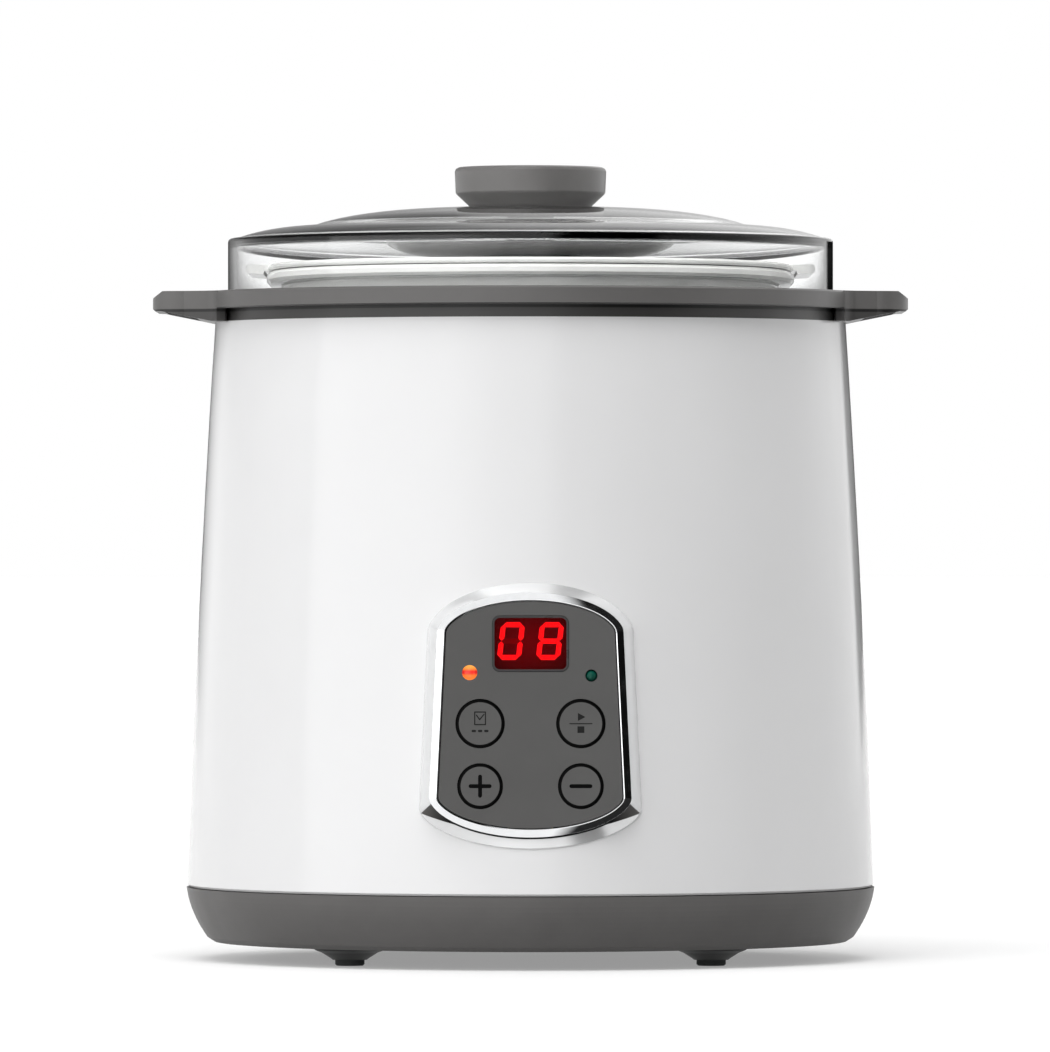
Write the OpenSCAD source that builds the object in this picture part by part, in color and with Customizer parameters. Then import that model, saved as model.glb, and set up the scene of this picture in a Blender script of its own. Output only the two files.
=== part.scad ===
// Water-bath slow cooker: a ceramic pot stands in a heated metal tank, under a
// ceramic lid and a clear outer lid, in a flared plastic housing with two side
// handles and a front control panel. Millimetres, +Z up, front faces -Y, and
// the origin is the centre of the base at the level of the rubber feet's soles.

/* [Lids] */
// Outer radius of the clear lid's skirt
lid_r = 104.6; // [99:0.1:112]
// Wall of the clear lid
lid_wall = 2.6; // [2:0.1:3.4]
// Height of the clear lid's straight skirt
skirt_h = 19.1; // [18.6:0.1:26]
// Rise of the clear lid's outer shoulder
shoulder_rise = 4.5; // [3:0.1:8]
// Radius of the crease between shoulder and dome
crease_r = 76.1; // [62:0.1:86]
// Rise of the dome above the crease
dome_rise = 6.6; // [5:0.1:12]
// Radius of the lid's knob
knob_r = 26.2; // [22:0.1:32]
// Height of the lid's knob
knob_h = 13.9; // [11:0.1:20]
// Radius of the drip bowl under the knob
bowl_r = 50.2; // [40:0.1:58]
// Height of the drip bowl
bowl_h = 5.6; // [4.5:0.1:6.2]

/* [Ceramic pot] */
// Gap for water between the pot and the tank's wall
water_gap = 12.5; // [10:0.1:18]
// Wall of the pot
pot_wall = 4.5; // [3.5:0.1:6]
// Height of the pot's rim above the housing's rim
pot_stand = 8.1; // [7:0.1:8.6]
// Height of the bead round the pot's mouth
bead_h = 3.6; // [2.8:0.1:5]
// Reach of the bead beyond the pot's neck
bead_reach = 5.6; // [4:0.1:6.4]
// Reach of the ceramic lid's lift tabs beyond its edge
tab_reach = 7; // [4:0.1:8]
// Width of each lift tab
tab_w = 24; // [16:0.5:36]

/* [Housing] */
// Height of the white shell
shell_h = 194.7; // [185:0.1:215]
// How far the shell flares from its top to its foot, in radius
shell_flare = 9.6; // [6:0.1:14]
// Outward bulge of the shell's side, halfway up
shell_bulge = 0.7; // [0:0.1:2]
// Wall of the plastic shell
wall = 2.5; // [2:0.1:3]
// Height of the grey base
base_h = 18.7; // [17.5:0.1:24]
// How far the base tucks in towards its bottom, in radius
base_tuck = 8.3; // [6:0.1:10]
// Height of the feet
foot_h = 6.3; // [5.5:0.1:10]
// Half the distance between neighbouring feet
foot_pitch = 61.5; // [56:0.5:64]
// Radius of a foot's flange
foot_r = 12.2; // [10:0.1:14]

/* [Rim and handles] */
// Width of the rim's raised lip outside the lid
lip_w = 8.5; // [7.5:0.1:11]
// Height of the rim band
rim_h = 6.1; // [5.6:0.1:9]
// Height of the neck between shell and rim band
neck_h = 4.3; // [3:0.1:7]
// Overhang of the rim beyond the top of the shell
rim_overhang = 4.5; // [4:0.1:6]
// Reach of each handle beyond the rim
handle_reach = 16.5; // [12:0.5:24]
// Width of a handle at its root
handle_root_w = 72; // [60:1:84]
// Width of a handle at its tip
handle_tip_w = 54; // [44:1:58]
// Thickness of a handle at its tip
handle_tip_h = 6.9; // [6:0.1:8]

/* [Control panel] */
// Height of the panel's centre above the soles
panel_z = 86.2; // [83:0.1:100]
// Lean of the panel from the vertical, in degrees
panel_lean = 2.3; // [1.8:0.1:2.8]
// Stand-off of the panel's front from the shell
panel_proud = 2; // [1.6:0.1:3]
// Width of the grey face at its upper corners
face_top_w = 56.5; // [55:0.1:60]
// Width of the grey face at its lower corners
face_bottom_w = 61.9; // [61:0.1:66]
// Height of the grey face between its corners
face_side_h = 56.6; // [55:0.1:60]
// Rise of the curved top and bottom edges
face_bow = 9.8; // [9:0.1:12]
// Thickness of the grey face
face_t = 1.8; // [1.4:0.1:2]
// Width of the bright inner bevel
bevel_w = 2.8; // [2:0.1:3.4]
// Width of the outer skirt of the frame
frame_skirt_w = 3.3; // [2.4:0.1:4]

/* [Buttons and lights] */
// Radius of the two upper buttons
big_button_r = 8; // [7:0.1:8.4]
// Radius of the two lower buttons
small_button_r = 7.4; // [6.5:0.1:8]
// Sideways distance of the buttons from the middle
button_x = 16.9; // [15:0.1:17.4]
// Height of the upper buttons above the panel's centre
upper_row = -2.9; // [-3.5:0.1:-2]
// Height of the lower buttons above the panel's centre
lower_row = -23.9; // [-24.2:0.1:-22.5]
// How far a button travels
button_travel = 0.8; // [0.4:0.1:0.9]
// Width of the display window
window_w = 25.5; // [25.2:0.1:27]
// Height of the display window
window_h = 18.6; // [18.2:0.1:19.6]
// Height of the display window above the panel's centre
window_y = 23.9; // [22.5:0.1:24.2]
// Radius of the red lamp
red_lamp_r = 2.45; // [1.5:0.05:2.5]
// Radius of the green lamp
green_lamp_r = 1.95; // [1.5:0.05:2.5]
// Sideways distance of the lamps from the middle
lamp_x = 20.4; // [18.5:0.1:21.5]
// Height of the red lamp above the panel's centre
lamp_y = 14.2; // [11:0.1:15]
// How much lower the green lamp sits
green_lamp_drop = 1; // [0:0.1:2]

/* [Tank and heater] */
// Thickness of the metal tank
tank_wall = 1; // [0.8:0.1:1.5]
// Draft of the tank's wall, in radius
tank_draft = 4; // [0:0.1:5]
// Height of the tank's underside above the soles
tank_z = 72; // [70:0.1:84]
// Radius of the heater plate
heater_r = 75; // [73:0.5:82]
// Thickness of the heater plate
heater_t = 6; // [5:0.1:7.5]
// Radius of the tubular element's ring
element_r = 58; // [50:0.5:59]
// Thickness of the heat shield
shield_t = 0.6; // [0.5:0.1:1]

/* [Power] */
// Width of the power board
board_w = 92; // [86:0.5:96]
// Depth of the power board
board_d = 60; // [58:0.5:64]
// Thickness of the circuit boards
pcb_t = 1.6; // [1.2:0.1:2]
// Width of the power inlet's body
inlet_w = 27; // [26.6:0.1:30]
// Height of the power inlet's body
inlet_h = 19.4; // [19.2:0.1:22]
// Height of the power inlet's centre above the soles
inlet_z = 43; // [42:0.1:44]

/* [Hidden] */

$fn = 96;
gap = 0.3;        // between pieces that move apart, or on curved seats
slip = 0.1;       // round a pin, screw or stem in its hole
inf = 400;        // longer than the whole object
steps = 10;       // straight stretches in each turned curve

white = [0.95, 0.95, 0.96];
grey = [0.40, 0.39, 0.385];
dark = [0.16, 0.16, 0.16];
chrome = [0.80, 0.81, 0.83];
steel = [0.66, 0.67, 0.69];
cream = [0.96, 0.95, 0.92];

// Heights of the stack
base_z = foot_h;
shell_z = base_z + base_h + gap;
neck_z = shell_z + shell_h;
rim_z = neck_z + neck_h;
rim_top = rim_z + rim_h;
lip_h = 1.6;
seat_z = rim_top - lip_h;
rebate_h = 2;
rebate_z = seat_z - rebate_h;
gasket_h = 0.8;

// Radii that follow from the lid
lid_play = 0.4;
lip_r = lid_r + lid_play;
rim_r = lip_r + lip_w;
neck_r = rim_r - rim_overhang - 0.7;
shell_top_r = rim_r - rim_overhang;
shell_foot_r = shell_top_r + shell_flare;
base_top_r = shell_foot_r + gap;
seat_w = 3.6;
rebate_r = lip_r - seat_w;
flange_r = rebate_r - gap;
flange_w = 3.1;
tank_r = flange_r - flange_w;

// ---- Curves -----------------------------------------------------------------

function mix(a, b, t) = a + (b - a) * t;

// Outer radius of the shell at height z
function shell_r(z) =
    let (t = (z - shell_z) / shell_h)
    mix(shell_foot_r, shell_top_r, t) + shell_bulge * 4 * t * (1 - t);

// Outer radius of the base at height z: steep at the top, tucked in below
base_curve = 0.27;   // share of the tuck that is a straight slope
function base_r(z) =
    let (u = (base_z + base_h - z) / base_h)
    base_top_r - base_tuck * (base_curve * u + (1 - base_curve) * u * u);

// Outer height of the clear lid at radius r
lid_z = seat_z + gap;
skirt_top = lid_z + skirt_h;
shoulder_r = lid_r - 4.6;
shoulder_z = skirt_top + 0.5;
crease_z = shoulder_z + shoulder_rise;
dome_top = crease_z + dome_rise;
function lid_height(r) = r > crease_r
    ? shoulder_z + shoulder_rise * pow(1 - pow((r - crease_r) / (shoulder_r - crease_r), 2), 0.8)
    : crease_z + dome_rise * pow(1 - pow(r / crease_r, 3.5), 0.9);

function reverse(list) = [for (i = [len(list) - 1:-1:0]) list[i]];
function shifted(list, v) = [for (p = list) p + v];

// Quarter of an ellipse about c, from below it to its outer side
function quarter(c, a, b, n = 8) =
    [for (i = [0:n]) [c[0] + a * sin(90 * i / n), c[1] - b * cos(90 * i / n)]];

// ---- Helpers ----------------------------------------------------------------

module turned(points) {
    rotate_extrude() polygon(points);
}

module ring(r_out, r_in, h) {
    difference() {
        cylinder(r = r_out, h = h);
        translate([0, 0, -1]) cylinder(r = r_in, h = h + 2);
    }
}

module block(size, at = [0, 0, 0]) {
    translate([at[0] - size[0] / 2, at[1] - size[1] / 2, at[2]]) cube(size);
}

module rounded(w, h, r) {
    square([w - 2 * r, h], center = true);
    square([w, h - 2 * r], center = true);
    for (x = [-1, 1], y = [-1, 1])
        translate([x * (w / 2 - r), y * (h / 2 - r)]) circle(r, $fn = 48);
}

// A pan-head screw pointing up, with its head's seat at the origin
module pan_screw(shank_r, shank_l, head_r, head_h) {
    difference() {
        turned([
            [0, -head_h], [head_r * 0.7, -head_h], [head_r, -head_h * 0.5], [head_r, 0],
            [shank_r, 0], [shank_r, shank_l - shank_r], [shank_r * 0.3, shank_l], [0, shank_l]
        ]);
        for (a = [0, 90]) rotate(a)
            block([head_r * 1.1, head_r * 0.28, head_h * 0.45], [0, 0, -head_h - 0.01]);
    }
}

// A bar of elliptical section swept along a path; side is the direction of its
// half-width a, and is never parallel to the path
function unit(v) = v / norm(v);
function tangent(path, i) = unit(path[min(i + 1, len(path) - 1)] - path[max(i - 1, 0)]);
function section(p, t, side, a, b, n) =
    let (u = unit(side - t * (side * t)), v = cross(t, u))
    [for (k = [0:n - 1]) p + u * a * cos(360 * k / n) + v * b * sin(360 * k / n)];

module swept(path, a, b, side, n = 8) {
    last = len(path) - 1;
    points = [for (i = [0:last]) each section(path[i], tangent(path, i), side, a, b, n)];
    skin = [
        for (i = [0:last - 1], k = [0:n - 1])
            let (m = (k + 1) % n, here = i * n, next = here + n)
            each [[here + k, next + m, here + m], [here + k, next + k, next + m]]
    ];
    caps = [[for (k = [0:n - 1]) k], [for (k = [n - 1:-1:0]) last * n + k]];
    polyhedron(points, concat(skin, caps), convexity = 6);
}

// A smooth path through a quadratic curve from p to q, pulled towards c
function bend(p, c, q, n = 6) =
    [for (i = [0:n]) let (t = i / n) p * (1 - t) * (1 - t) + c * 2 * t * (1 - t) + q * t * t];

// ---- Base and feet ----------------------------------------------------------

floor_t = 2.6;
tongue_h = 4;
tongue_t = 1.6;
tongue_r = shell_foot_r - wall - gap;
base_top = base_z + base_h;
base_edge = 1.5;

screw_angles = [20, 160, 200, 340];
screw_ring_r = shell_foot_r - 14.6;
screw_r = 1.5;
screw_seat_z = base_z + 7.7;
base_screw_l = 28;
boss_r = 4;
boss_z = base_top + 1;
boss_h = 27;

board_y = 10;
board_z = base_z + floor_t + 6.1;
board_hole_x = board_w / 2 - 5;
board_hole_y = board_d / 2 - 5;
board_screw_r = 1.15;

stem_r = 3;
feet = [[-1, -1], [1, -1], [-1, 1], [1, 1]];

module at_board_holes() {
    for (x = [-1, 1], y = [-1, 1])
        translate([x * board_hole_x, board_y + y * board_hole_y, 0]) children();
}

module at_base_screws() {
    for (a = screw_angles) rotate(a) translate([screw_ring_r, 0, 0]) children();
}

module vent_slots(count = 20, r_in = 61, r_out = 72, w = 3) {
    for (i = [0:count - 1]) rotate((i + 0.5) * 360 / count) {
        translate([r_in, -w / 2, base_z - 1]) cube([r_out - r_in, w, floor_t + 2]);
        for (r = [r_in, r_out]) translate([r, 0, base_z - 1]) cylinder(r = w / 2, h = floor_t + 2, $fn = 32);
    }
}

module base_housing() color(grey) {
    side = [for (i = [0:steps]) let (z = mix(base_z + base_edge, base_top, i / steps)) [base_r(z), z]];
    inner = [for (i = [0:steps]) let (z = mix(base_z + floor_t, base_top - 5, i / steps)) [base_r(z) - wall, z]];
    shell = concat(
        [[0, base_z], [base_r(base_z + base_edge) - base_edge * 1.6, base_z]],
        side,
        [
            [tongue_r, base_top], [tongue_r, base_top + tongue_h - 0.6],
            [tongue_r - 0.6, base_top + tongue_h], [tongue_r - tongue_t, base_top + tongue_h],
            [tongue_r - tongue_t, base_top - 2.5]
        ],
        reverse(inner),
        [[0, base_z + floor_t]]
    );
    difference() {
        union() {
            turned(shell);
            at_base_screws() {
                translate([0, 0, base_z]) cylinder(r = boss_r + 1.6, h = screw_seat_z + 2 - base_z);
                translate([0, 0, base_z]) cylinder(r = boss_r + 0.2, h = base_h + 0.6);
            }
            at_board_holes() {
                translate([0, 0, base_z]) cylinder(r = 3.5, h = board_z - base_z);
            }
        }
        at_base_screws() {
            translate([0, 0, base_z - 1]) cylinder(r = 3.8, h = screw_seat_z - base_z + 1);
            translate([0, 0, base_z]) cylinder(r = screw_r + gap, h = base_h + 2);
        }
        at_board_holes() {
            translate([0, 0, base_z + floor_t]) cylinder(r = board_screw_r + slip / 2, h = inf / 10);
        }
        for (f = feet)
            translate([f[0] * foot_pitch, f[1] * foot_pitch, base_z - 1])
                cylinder(r = stem_r + slip, h = floor_t + 2);
        vent_slots();
    }
}

pad_h = 2;
pad_r = 5;
plug_r = 2;
plug_h = 1.8;

// One foot: a shallow dished cone with a stem that snaps into the base
module foot(i) color(dark) {
    neck_foot = pad_r + 0.9;
    translate([feet[i][0] * foot_pitch, feet[i][1] * foot_pitch, 0]) difference() {
        union() {
            turned([
                [0, pad_h], [neck_foot, pad_h], [neck_foot + 0.6, pad_h + 0.5],
                [foot_r * 0.78, foot_h - 1.9], [foot_r - 0.3, foot_h - 1], [foot_r, foot_h - 0.6],
                [foot_r, foot_h], [0, foot_h]
            ]);
            translate([0, 0, foot_h - 0.01]) cylinder(r = stem_r, h = floor_t + 1.5);
            translate([0, 0, foot_h + floor_t + slip]) cylinder(r1 = stem_r + 0.8, r2 = stem_r - 0.4, h = 1.4);
        }
        translate([0, 0, pad_h - 1]) cylinder(r = plug_r + slip, h = plug_h + 1.2);
    }
}

module foot_pads() color([0.22, 0.23, 0.22]) {
    for (f = feet) translate([f[0] * foot_pitch, f[1] * foot_pitch, 0]) {
        turned([
            [0, 0], [pad_r - 0.5, 0], [pad_r, 0.5], [pad_r, pad_h],
            [plug_r, pad_h], [plug_r, pad_h + plug_h], [0, pad_h + plug_h]
        ]);
    }
}

module base_screws() color(steel) {
    at_base_screws() translate([0, 0, screw_seat_z]) pan_screw(screw_r, base_screw_l, 3.2, 2.4);
}

// ---- Panel geometry ---------------------------------------------------------

panel_y = -(shell_r(panel_z) + panel_proud);
face_front = -0.4;
face_back = face_front - face_t;
half_side = face_side_h / 2;
mid_half_w = (face_top_w + face_bottom_w) / 4;
side_slope = (face_bottom_w - face_top_w) / 2 / face_side_h;
apex_y = half_side + face_bow;
corner_cut = 1.2;

// The bowed ends are arcs of ellipses that reach this much wider than the corners
bow_reach = 1.025;
bow_rise = face_bow / (1 - sqrt(1 - 1 / (bow_reach * bow_reach)));
bow_mid = apex_y - bow_rise;
function bow_width(side) = bow_reach * (side > 0 ? face_top_w : face_bottom_w) / 2;

// The panel's own frame: x to the right, y up the panel, z out of its front
module on_panel() {
    translate([0, panel_y, panel_z]) rotate([90 - panel_lean, 0, 0]) children();
}

// Height of the shell's outer surface above the panel's front plane at (x, y)
function wall_z(x, y, n = 4, z = 0) = n == 0 ? z :
    let (
        up = panel_z + y * cos(panel_lean) + z * sin(panel_lean),
        r = shell_r(up),
        depth = -sqrt(r * r - x * x)
    )
    wall_z(x, y, n - 1, (panel_y + y * sin(panel_lean) - depth) / cos(panel_lean));

// Upper or lower corner (side = 1 or -1) of the face's outline, moved out by d
function corner_y(d, side) =
    let (
        a2 = pow(bow_width(side) + d, 2),
        b2 = pow(bow_rise + d, 2),
        c = side * bow_mid,
        x = mid_half_w + d * sqrt(1 + side_slope * side_slope),
        q = a2 + b2 * side_slope * side_slope,
        m = b2 * x * side_slope + a2 * c,
        k = b2 * x * x + a2 * c * c - a2 * b2
    )
    (m + side * sqrt(m * m - q * k)) / q;
function side_x(d, y) = mid_half_w + d * sqrt(1 + side_slope * side_slope) - side_slope * y;

// The bowed end of the outline, right half, from its corner to its middle
function bow(d, side, n = 14) =
    let (
        a = bow_width(side) + d,
        b = bow_rise + d,
        c = side * bow_mid,
        y = corner_y(d, side),
        t = atan2(side_x(d, y) / a, side * (y - c) / b),
        start = t - corner_cut / norm([a * cos(t), b * sin(t)]) * 180 / PI
    )
    [for (i = [0:n]) let (u = start * (1 - i / n)) [a * sin(u), c + side * b * cos(u)]];

// The face's outline moved out by d, as one closed ring of points
function outline(d) =
    let (
        top = bow(d, 1),
        bottom = bow(d, -1),
        ty = corner_y(d, 1),
        by = corner_y(d, -1),
        tc = [side_x(d, ty), ty],
        bc = [side_x(d, by), by],
        low = [side_x(d, by + corner_cut), by + corner_cut],
        high = [side_x(d, ty - corner_cut), ty - corner_cut],
        right = concat(
            reverse(bottom),
            [for (p = bend(bottom[0], bc, low, 4)) if (p != bottom[0]) p],
            bend(high, tc, top[0], 4),
            [for (i = [1:len(top) - 1]) top[i]]
        ),
        n = len(right)
    )
    concat(right, [for (i = [n - 2:-1:1]) [-right[i][0], right[i][1]]]);

module panel_slab(d, z0, z1) {
    translate([0, 0, z0]) linear_extrude(z1 - z0) polygon(outline(d));
}

buttons = [
    [-button_x, upper_row, big_button_r], [button_x, upper_row, big_button_r],
    [-button_x, lower_row, small_button_r], [button_x, lower_row, small_button_r]
];
lamps = [[-lamp_x, lamp_y, red_lamp_r], [lamp_x, lamp_y - green_lamp_drop, green_lamp_r]];
posts = [
    for (s = [-1, 1]) each [
        [s * (side_x(0, half_side) - 3.5), half_side - 1.2],
        [s * (side_x(0, -half_side) - 3.4), -half_side + 0.6]
    ]
];
post_r = 2.4;
panel_screw_r = 1;

// Depths behind the panel's front plane
ledge_z = face_back - 0.15;
ledge_t = 1.8;
board_front = -11;
board_back = board_front - pcb_t;
sleeve_z = board_front - 1;
sleeve_t = 1.4;
frame_in = 0.3;
opening_d = frame_in + sleeve_t + 0.4;

// ---- Shell ------------------------------------------------------------------

inlet_pad_y = shell_r(inlet_z) + 0.9;
inlet_pad_w = inlet_w + 9.5;
inlet_pad_h = inlet_h + 6.4;
barb_z = neck_z - 5.5;
barb_angles = [30, 90, 150, 210, 270, 330];

module shell_boss() {
    difference() {
        union() {
            translate([0, 0, boss_z]) cylinder(r = boss_r, h = boss_h);
            translate([boss_r - 1, -1, base_top + tongue_h + 1])
                cube([shell_foot_r - screw_ring_r - boss_r - wall / 2 - 1, 2, boss_h - 6]);
        }
        translate([0, 0, boss_z - 1]) cylinder(r = screw_r + slip / 2, h = boss_h - 8);
    }
}

module outer_shell() color(white) {
    n = 12;
    heights = [for (i = [0:n]) mix(shell_z, neck_z, i / n)];
    profile = concat(
        [[shell_foot_r - wall + 0.4, shell_z], [shell_foot_r - 0.6, shell_z]],
        [for (z = heights) if (z > shell_z) [shell_r(z), z]],
        [for (z = reverse(heights)) if (z > shell_z) [shell_r(z) - wall, z]],
        [[shell_r(shell_z + 0.8) - wall, shell_z + 0.8]]
    );
    edge = [[shell_foot_r - 0.6, shell_z], [shell_r(shell_z + 0.7), shell_z + 0.7]];
    difference() {
        union() {
            turned([for (p = profile) each p == edge[0] ? edge : [p]]);
            at_base_screws() shell_boss();
            difference() {
                block([inlet_pad_w, 6, inlet_pad_h], [0, inlet_pad_y - 3, inlet_z - inlet_pad_h / 2]);
                for (s = [-1, 1]) translate([s * inlet_pad_w / 2, inlet_pad_y, inlet_z - inf / 2])
                    rotate(45) block([1.6, 1.6, inf]);
            }
        }
        on_panel() panel_slab(opening_d, board_back - 6, 8);
        block([inlet_w + 2 * gap, 20, inlet_h + 2 * gap], [0, inlet_pad_y, inlet_z - inlet_h / 2 - gap]);
        for (a = barb_angles) rotate(a - 5) translate([0, 0, barb_z - gap])
            rotate_extrude(angle = 10) square([shell_r(barb_z) - wall + 1.1, 2.6]);
    }
}

// ---- Rim and handles --------------------------------------------------------

collar_r = shell_top_r - wall - gap;
collar_t = 1.6;
collar_z = neck_z - 8;
tube_r = rebate_r + gap;
tube_t = 1.6;
tube_z = neck_z - 6;
hole_r = tank_r + 0.4;
band_t = 2.3;
tip_x = rim_r + handle_reach;
root_x = rim_r - 12;
handle_fillet = 5;

// The meeting fillet between a handle's side and the round rim
side_run = [tip_x - root_x, (handle_tip_w - handle_root_w) / 2];
side_dir = unit(side_run);
side_out = [-side_dir[1], side_dir[0]];
fillet_from = [root_x, handle_root_w / 2] + side_out * handle_fillet;
fillet_b = fillet_from * side_dir;
fillet_s = -fillet_b + sqrt(
    fillet_b * fillet_b - fillet_from * fillet_from + pow(rim_r + handle_fillet, 2));
fillet_c = fillet_from + side_dir * fillet_s;
fillet_line = fillet_c - side_out * handle_fillet;
fillet_rim = fillet_c * rim_r / (rim_r + handle_fillet);

module handle_plan() {
    corner = 11;
    tip_c = [tip_x - corner, handle_tip_w / 2 - corner + 1.2];
    difference() {
        union() {
            polygon([
                [root_x, -handle_root_w / 2], [tip_x - corner, -tip_c[1] - corner],
                [tip_x - corner, tip_c[1] + corner], [root_x, handle_root_w / 2]
            ]);
            translate([tip_x - corner - 1, -tip_c[1]]) square([corner + 1, 2 * tip_c[1]]);
            for (s = [-1, 1]) translate([tip_c[0], s * tip_c[1]]) circle(corner);
            for (s = [-1, 1]) scale([1, s]) difference() {
                polygon([
                    fillet_rim, fillet_c, fillet_line,
                    fillet_line - side_out * 4, fillet_rim - unit(fillet_rim) * 3
                ]);
                translate(fillet_c) circle(handle_fillet);
            }
        }
        circle(neck_r - 1.5);
    }
}

module handle() {
    under_x = shell_top_r + 0.3;
    profile = [
        [neck_r - 4, rim_top], [tip_x - 3.5, rim_top], [tip_x, rim_top - 2.5],
        [tip_x, rim_top - handle_tip_h + 0.8], [tip_x - 0.9, rim_top - handle_tip_h],
        [tip_x - 3, rim_top - handle_tip_h], [under_x, neck_z], [neck_r - 4, neck_z]
    ];
    pocket = [14.6, 11];
    difference() {
        intersection() {
            rotate([90, 0, 0]) translate([0, 0, -inf / 2]) linear_extrude(inf) polygon(profile);
            translate([0, 0, neck_z - 1]) linear_extrude(rim_top - neck_z + 2) handle_plan();
        }
        for (i = [-1:1]) translate([rim_r + 1.2, i * (pocket[0] + 2) - pocket[0] / 2, neck_z - 5])
            cube([handle_reach - 5.5, pocket[0], rim_top - neck_z + 5 - 2.8]);
    }
}

module top_ring() color(grey) {
    top_edge = 0.6;
    profile = [
        [rim_r - top_edge, rim_top], [lip_r + 0.5, rim_top], [lip_r, rim_top - 0.5],
        [lip_r, seat_z], [rebate_r, seat_z], [rebate_r, rebate_z], [hole_r, rebate_z],
        [hole_r, rebate_z - 2], [tube_r, rebate_z - 2], [tube_r, tube_z],
        [tube_r + tube_t, tube_z], [tube_r + tube_t, rebate_z - 2],
        [collar_r - collar_t, rebate_z - 2], [collar_r - collar_t, collar_z],
        [collar_r, collar_z], [collar_r, neck_z], [neck_r, neck_z],
        [neck_r, rim_top - 2.5], [rim_r - band_t, rim_top - 2.5], [rim_r - band_t, rim_z],
        [rim_r - 0.4, rim_z], [rim_r, rim_z + 0.4], [rim_r, rim_top - top_edge]
    ];
    union() {
        turned(profile);
        for (a = [0, 180]) rotate(a) handle();
        for (a = barb_angles) rotate(a - 4) translate([0, 0, barb_z]) rotate_extrude(angle = 8)
            polygon([
                [collar_r - 0.5, 0], [collar_r, 0], [collar_r + 1, 1.6],
                [collar_r + 1, 2], [collar_r - 0.5, 2]
            ]);
    }
}

// ---- Tank and heater --------------------------------------------------------

tank_foot_r = tank_r - tank_draft;
tank_corner = 9;
flange_z = rebate_z + gasket_h;
bead_in = element_r - 6;
bead_out = element_r + 4;
bead_rise = 2;
pot_foot_z = tank_z + tank_wall + bead_rise + gap;

module tank_gasket() color([0.8, 0.8, 0.78]) {
    translate([0, 0, rebate_z]) ring(flange_r, tank_r + 1.2, gasket_h);
}

// The tank's section: floor with a raised bead, corner, drafted wall and flange
module water_tank() color(steel) {
    t = tank_wall;
    floor_out = [
        [0, tank_z], [bead_in - 1, tank_z], [bead_in + 1, tank_z + bead_rise],
        [bead_out - 1, tank_z + bead_rise], [bead_out + 1, tank_z]
    ];
    outer = quarter([tank_foot_r - tank_corner, tank_z + tank_corner], tank_corner, tank_corner);
    inner = quarter([tank_foot_r - tank_corner, tank_z + tank_corner], tank_corner - t, tank_corner - t);
    turned(concat(
        floor_out, outer,
        [
            [tank_r, flange_z - 1], [tank_r + 1, flange_z], [flange_r, flange_z],
            [flange_r, flange_z + t], [tank_r + 0.4 - t, flange_z + t], [tank_r - t, flange_z + t - 1.2]
        ],
        reverse(inner),
        reverse(shifted(floor_out, [0, t]))
    ));
}

shield_r = tube_r - gap;
shield_z = tank_z - heater_t - 10;
terminal_angle = 20;

module heat_shield() color([0.72, 0.73, 0.72]) {
    t = shield_t;
    difference() {
        turned([
            [16, shield_z], [shield_r - 2, shield_z], [shield_r, shield_z + 2],
            [shield_r, rebate_z - 2 - gap], [shield_r - t, rebate_z - 2 - gap],
            [shield_r - t, shield_z + 2 + t / 2], [shield_r - 2 - t / 2, shield_z + t],
            [16, shield_z + t]
        ]);
        for (s = [-1, 1]) rotate(s * terminal_angle)
            translate([element_r, 0, shield_z - 1]) cylinder(r = 6, h = 4);
        for (a = [0:30:330]) rotate(a + 15)
            translate([shield_r - 14, 0, shield_z - 1]) cylinder(r = 2.5, h = 4, $fn = 32);
    }
}

tube_heater_r = 3.5;
element_z = tank_z - heater_t - 2.8;

module heater_plate() color([0.7, 0.7, 0.7]) {
    difference() {
        turned([
            [12, tank_z - heater_t], [heater_r - 1, tank_z - heater_t], [heater_r, tank_z - heater_t + 1],
            [heater_r, tank_z], [12, tank_z]
        ]);
        translate([0, 0, element_z]) rotate_extrude()
            translate([element_r, 0]) circle(tube_heater_r + slip, $fn = 48);
    }
}

// The element: an open ring of tube whose two ends turn down to their terminals
module heating_element() color([0.35, 0.33, 0.32]) {
    translate([0, 0, element_z]) {
        rotate(terminal_angle) rotate_extrude(angle = 360 - 2 * terminal_angle)
            translate([element_r, 0]) circle(tube_heater_r, $fn = 48);
        for (s = [-1, 1]) rotate(s * terminal_angle) translate([element_r, 0, 0]) {
            sphere(tube_heater_r, $fn = 48);
            translate([0, 0, -13]) cylinder(r = tube_heater_r, h = 13, $fn = 48);
            translate([0, 0, -19]) cylinder(r = 1.2, h = 6.5, $fn = 32);
        }
    }
}

bar_z = shield_z + shield_t;
bar_t = 1.2;
bar_half_w = 7;
bar_foot_x = element_r + tube_heater_r + 2.2;
plate_under = tank_z - heater_t;

// A sprung bar that presses the heater plate to the tank
module heater_bracket() color(steel) {
    half = [
        [0, bar_z], [bar_foot_x + bar_t, bar_z], [bar_foot_x + bar_t, plate_under - bar_t],
        [bar_foot_x + 7, plate_under - bar_t], [bar_foot_x + 7, plate_under],
        [bar_foot_x, plate_under], [bar_foot_x, bar_z + bar_t], [0, bar_z + bar_t]
    ];
    for (s = [0, 1]) mirror([s, 0, 0]) rotate([90, 0, 0])
        translate([0, 0, -bar_half_w]) linear_extrude(2 * bar_half_w) polygon(half);
}

module thermostat() color([0.25, 0.22, 0.2]) {
    translate([0, 30, 0]) {
        translate([0, 0, plate_under - 0.8]) cylinder(r = 10, h = 0.8);
        translate([0, 0, plate_under - 6]) cylinder(r = 8, h = 5.4);
        for (s = [-1, 1]) block([1, 6, 3], [s * 5, 0, plate_under - 8.8]);
    }
}

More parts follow.
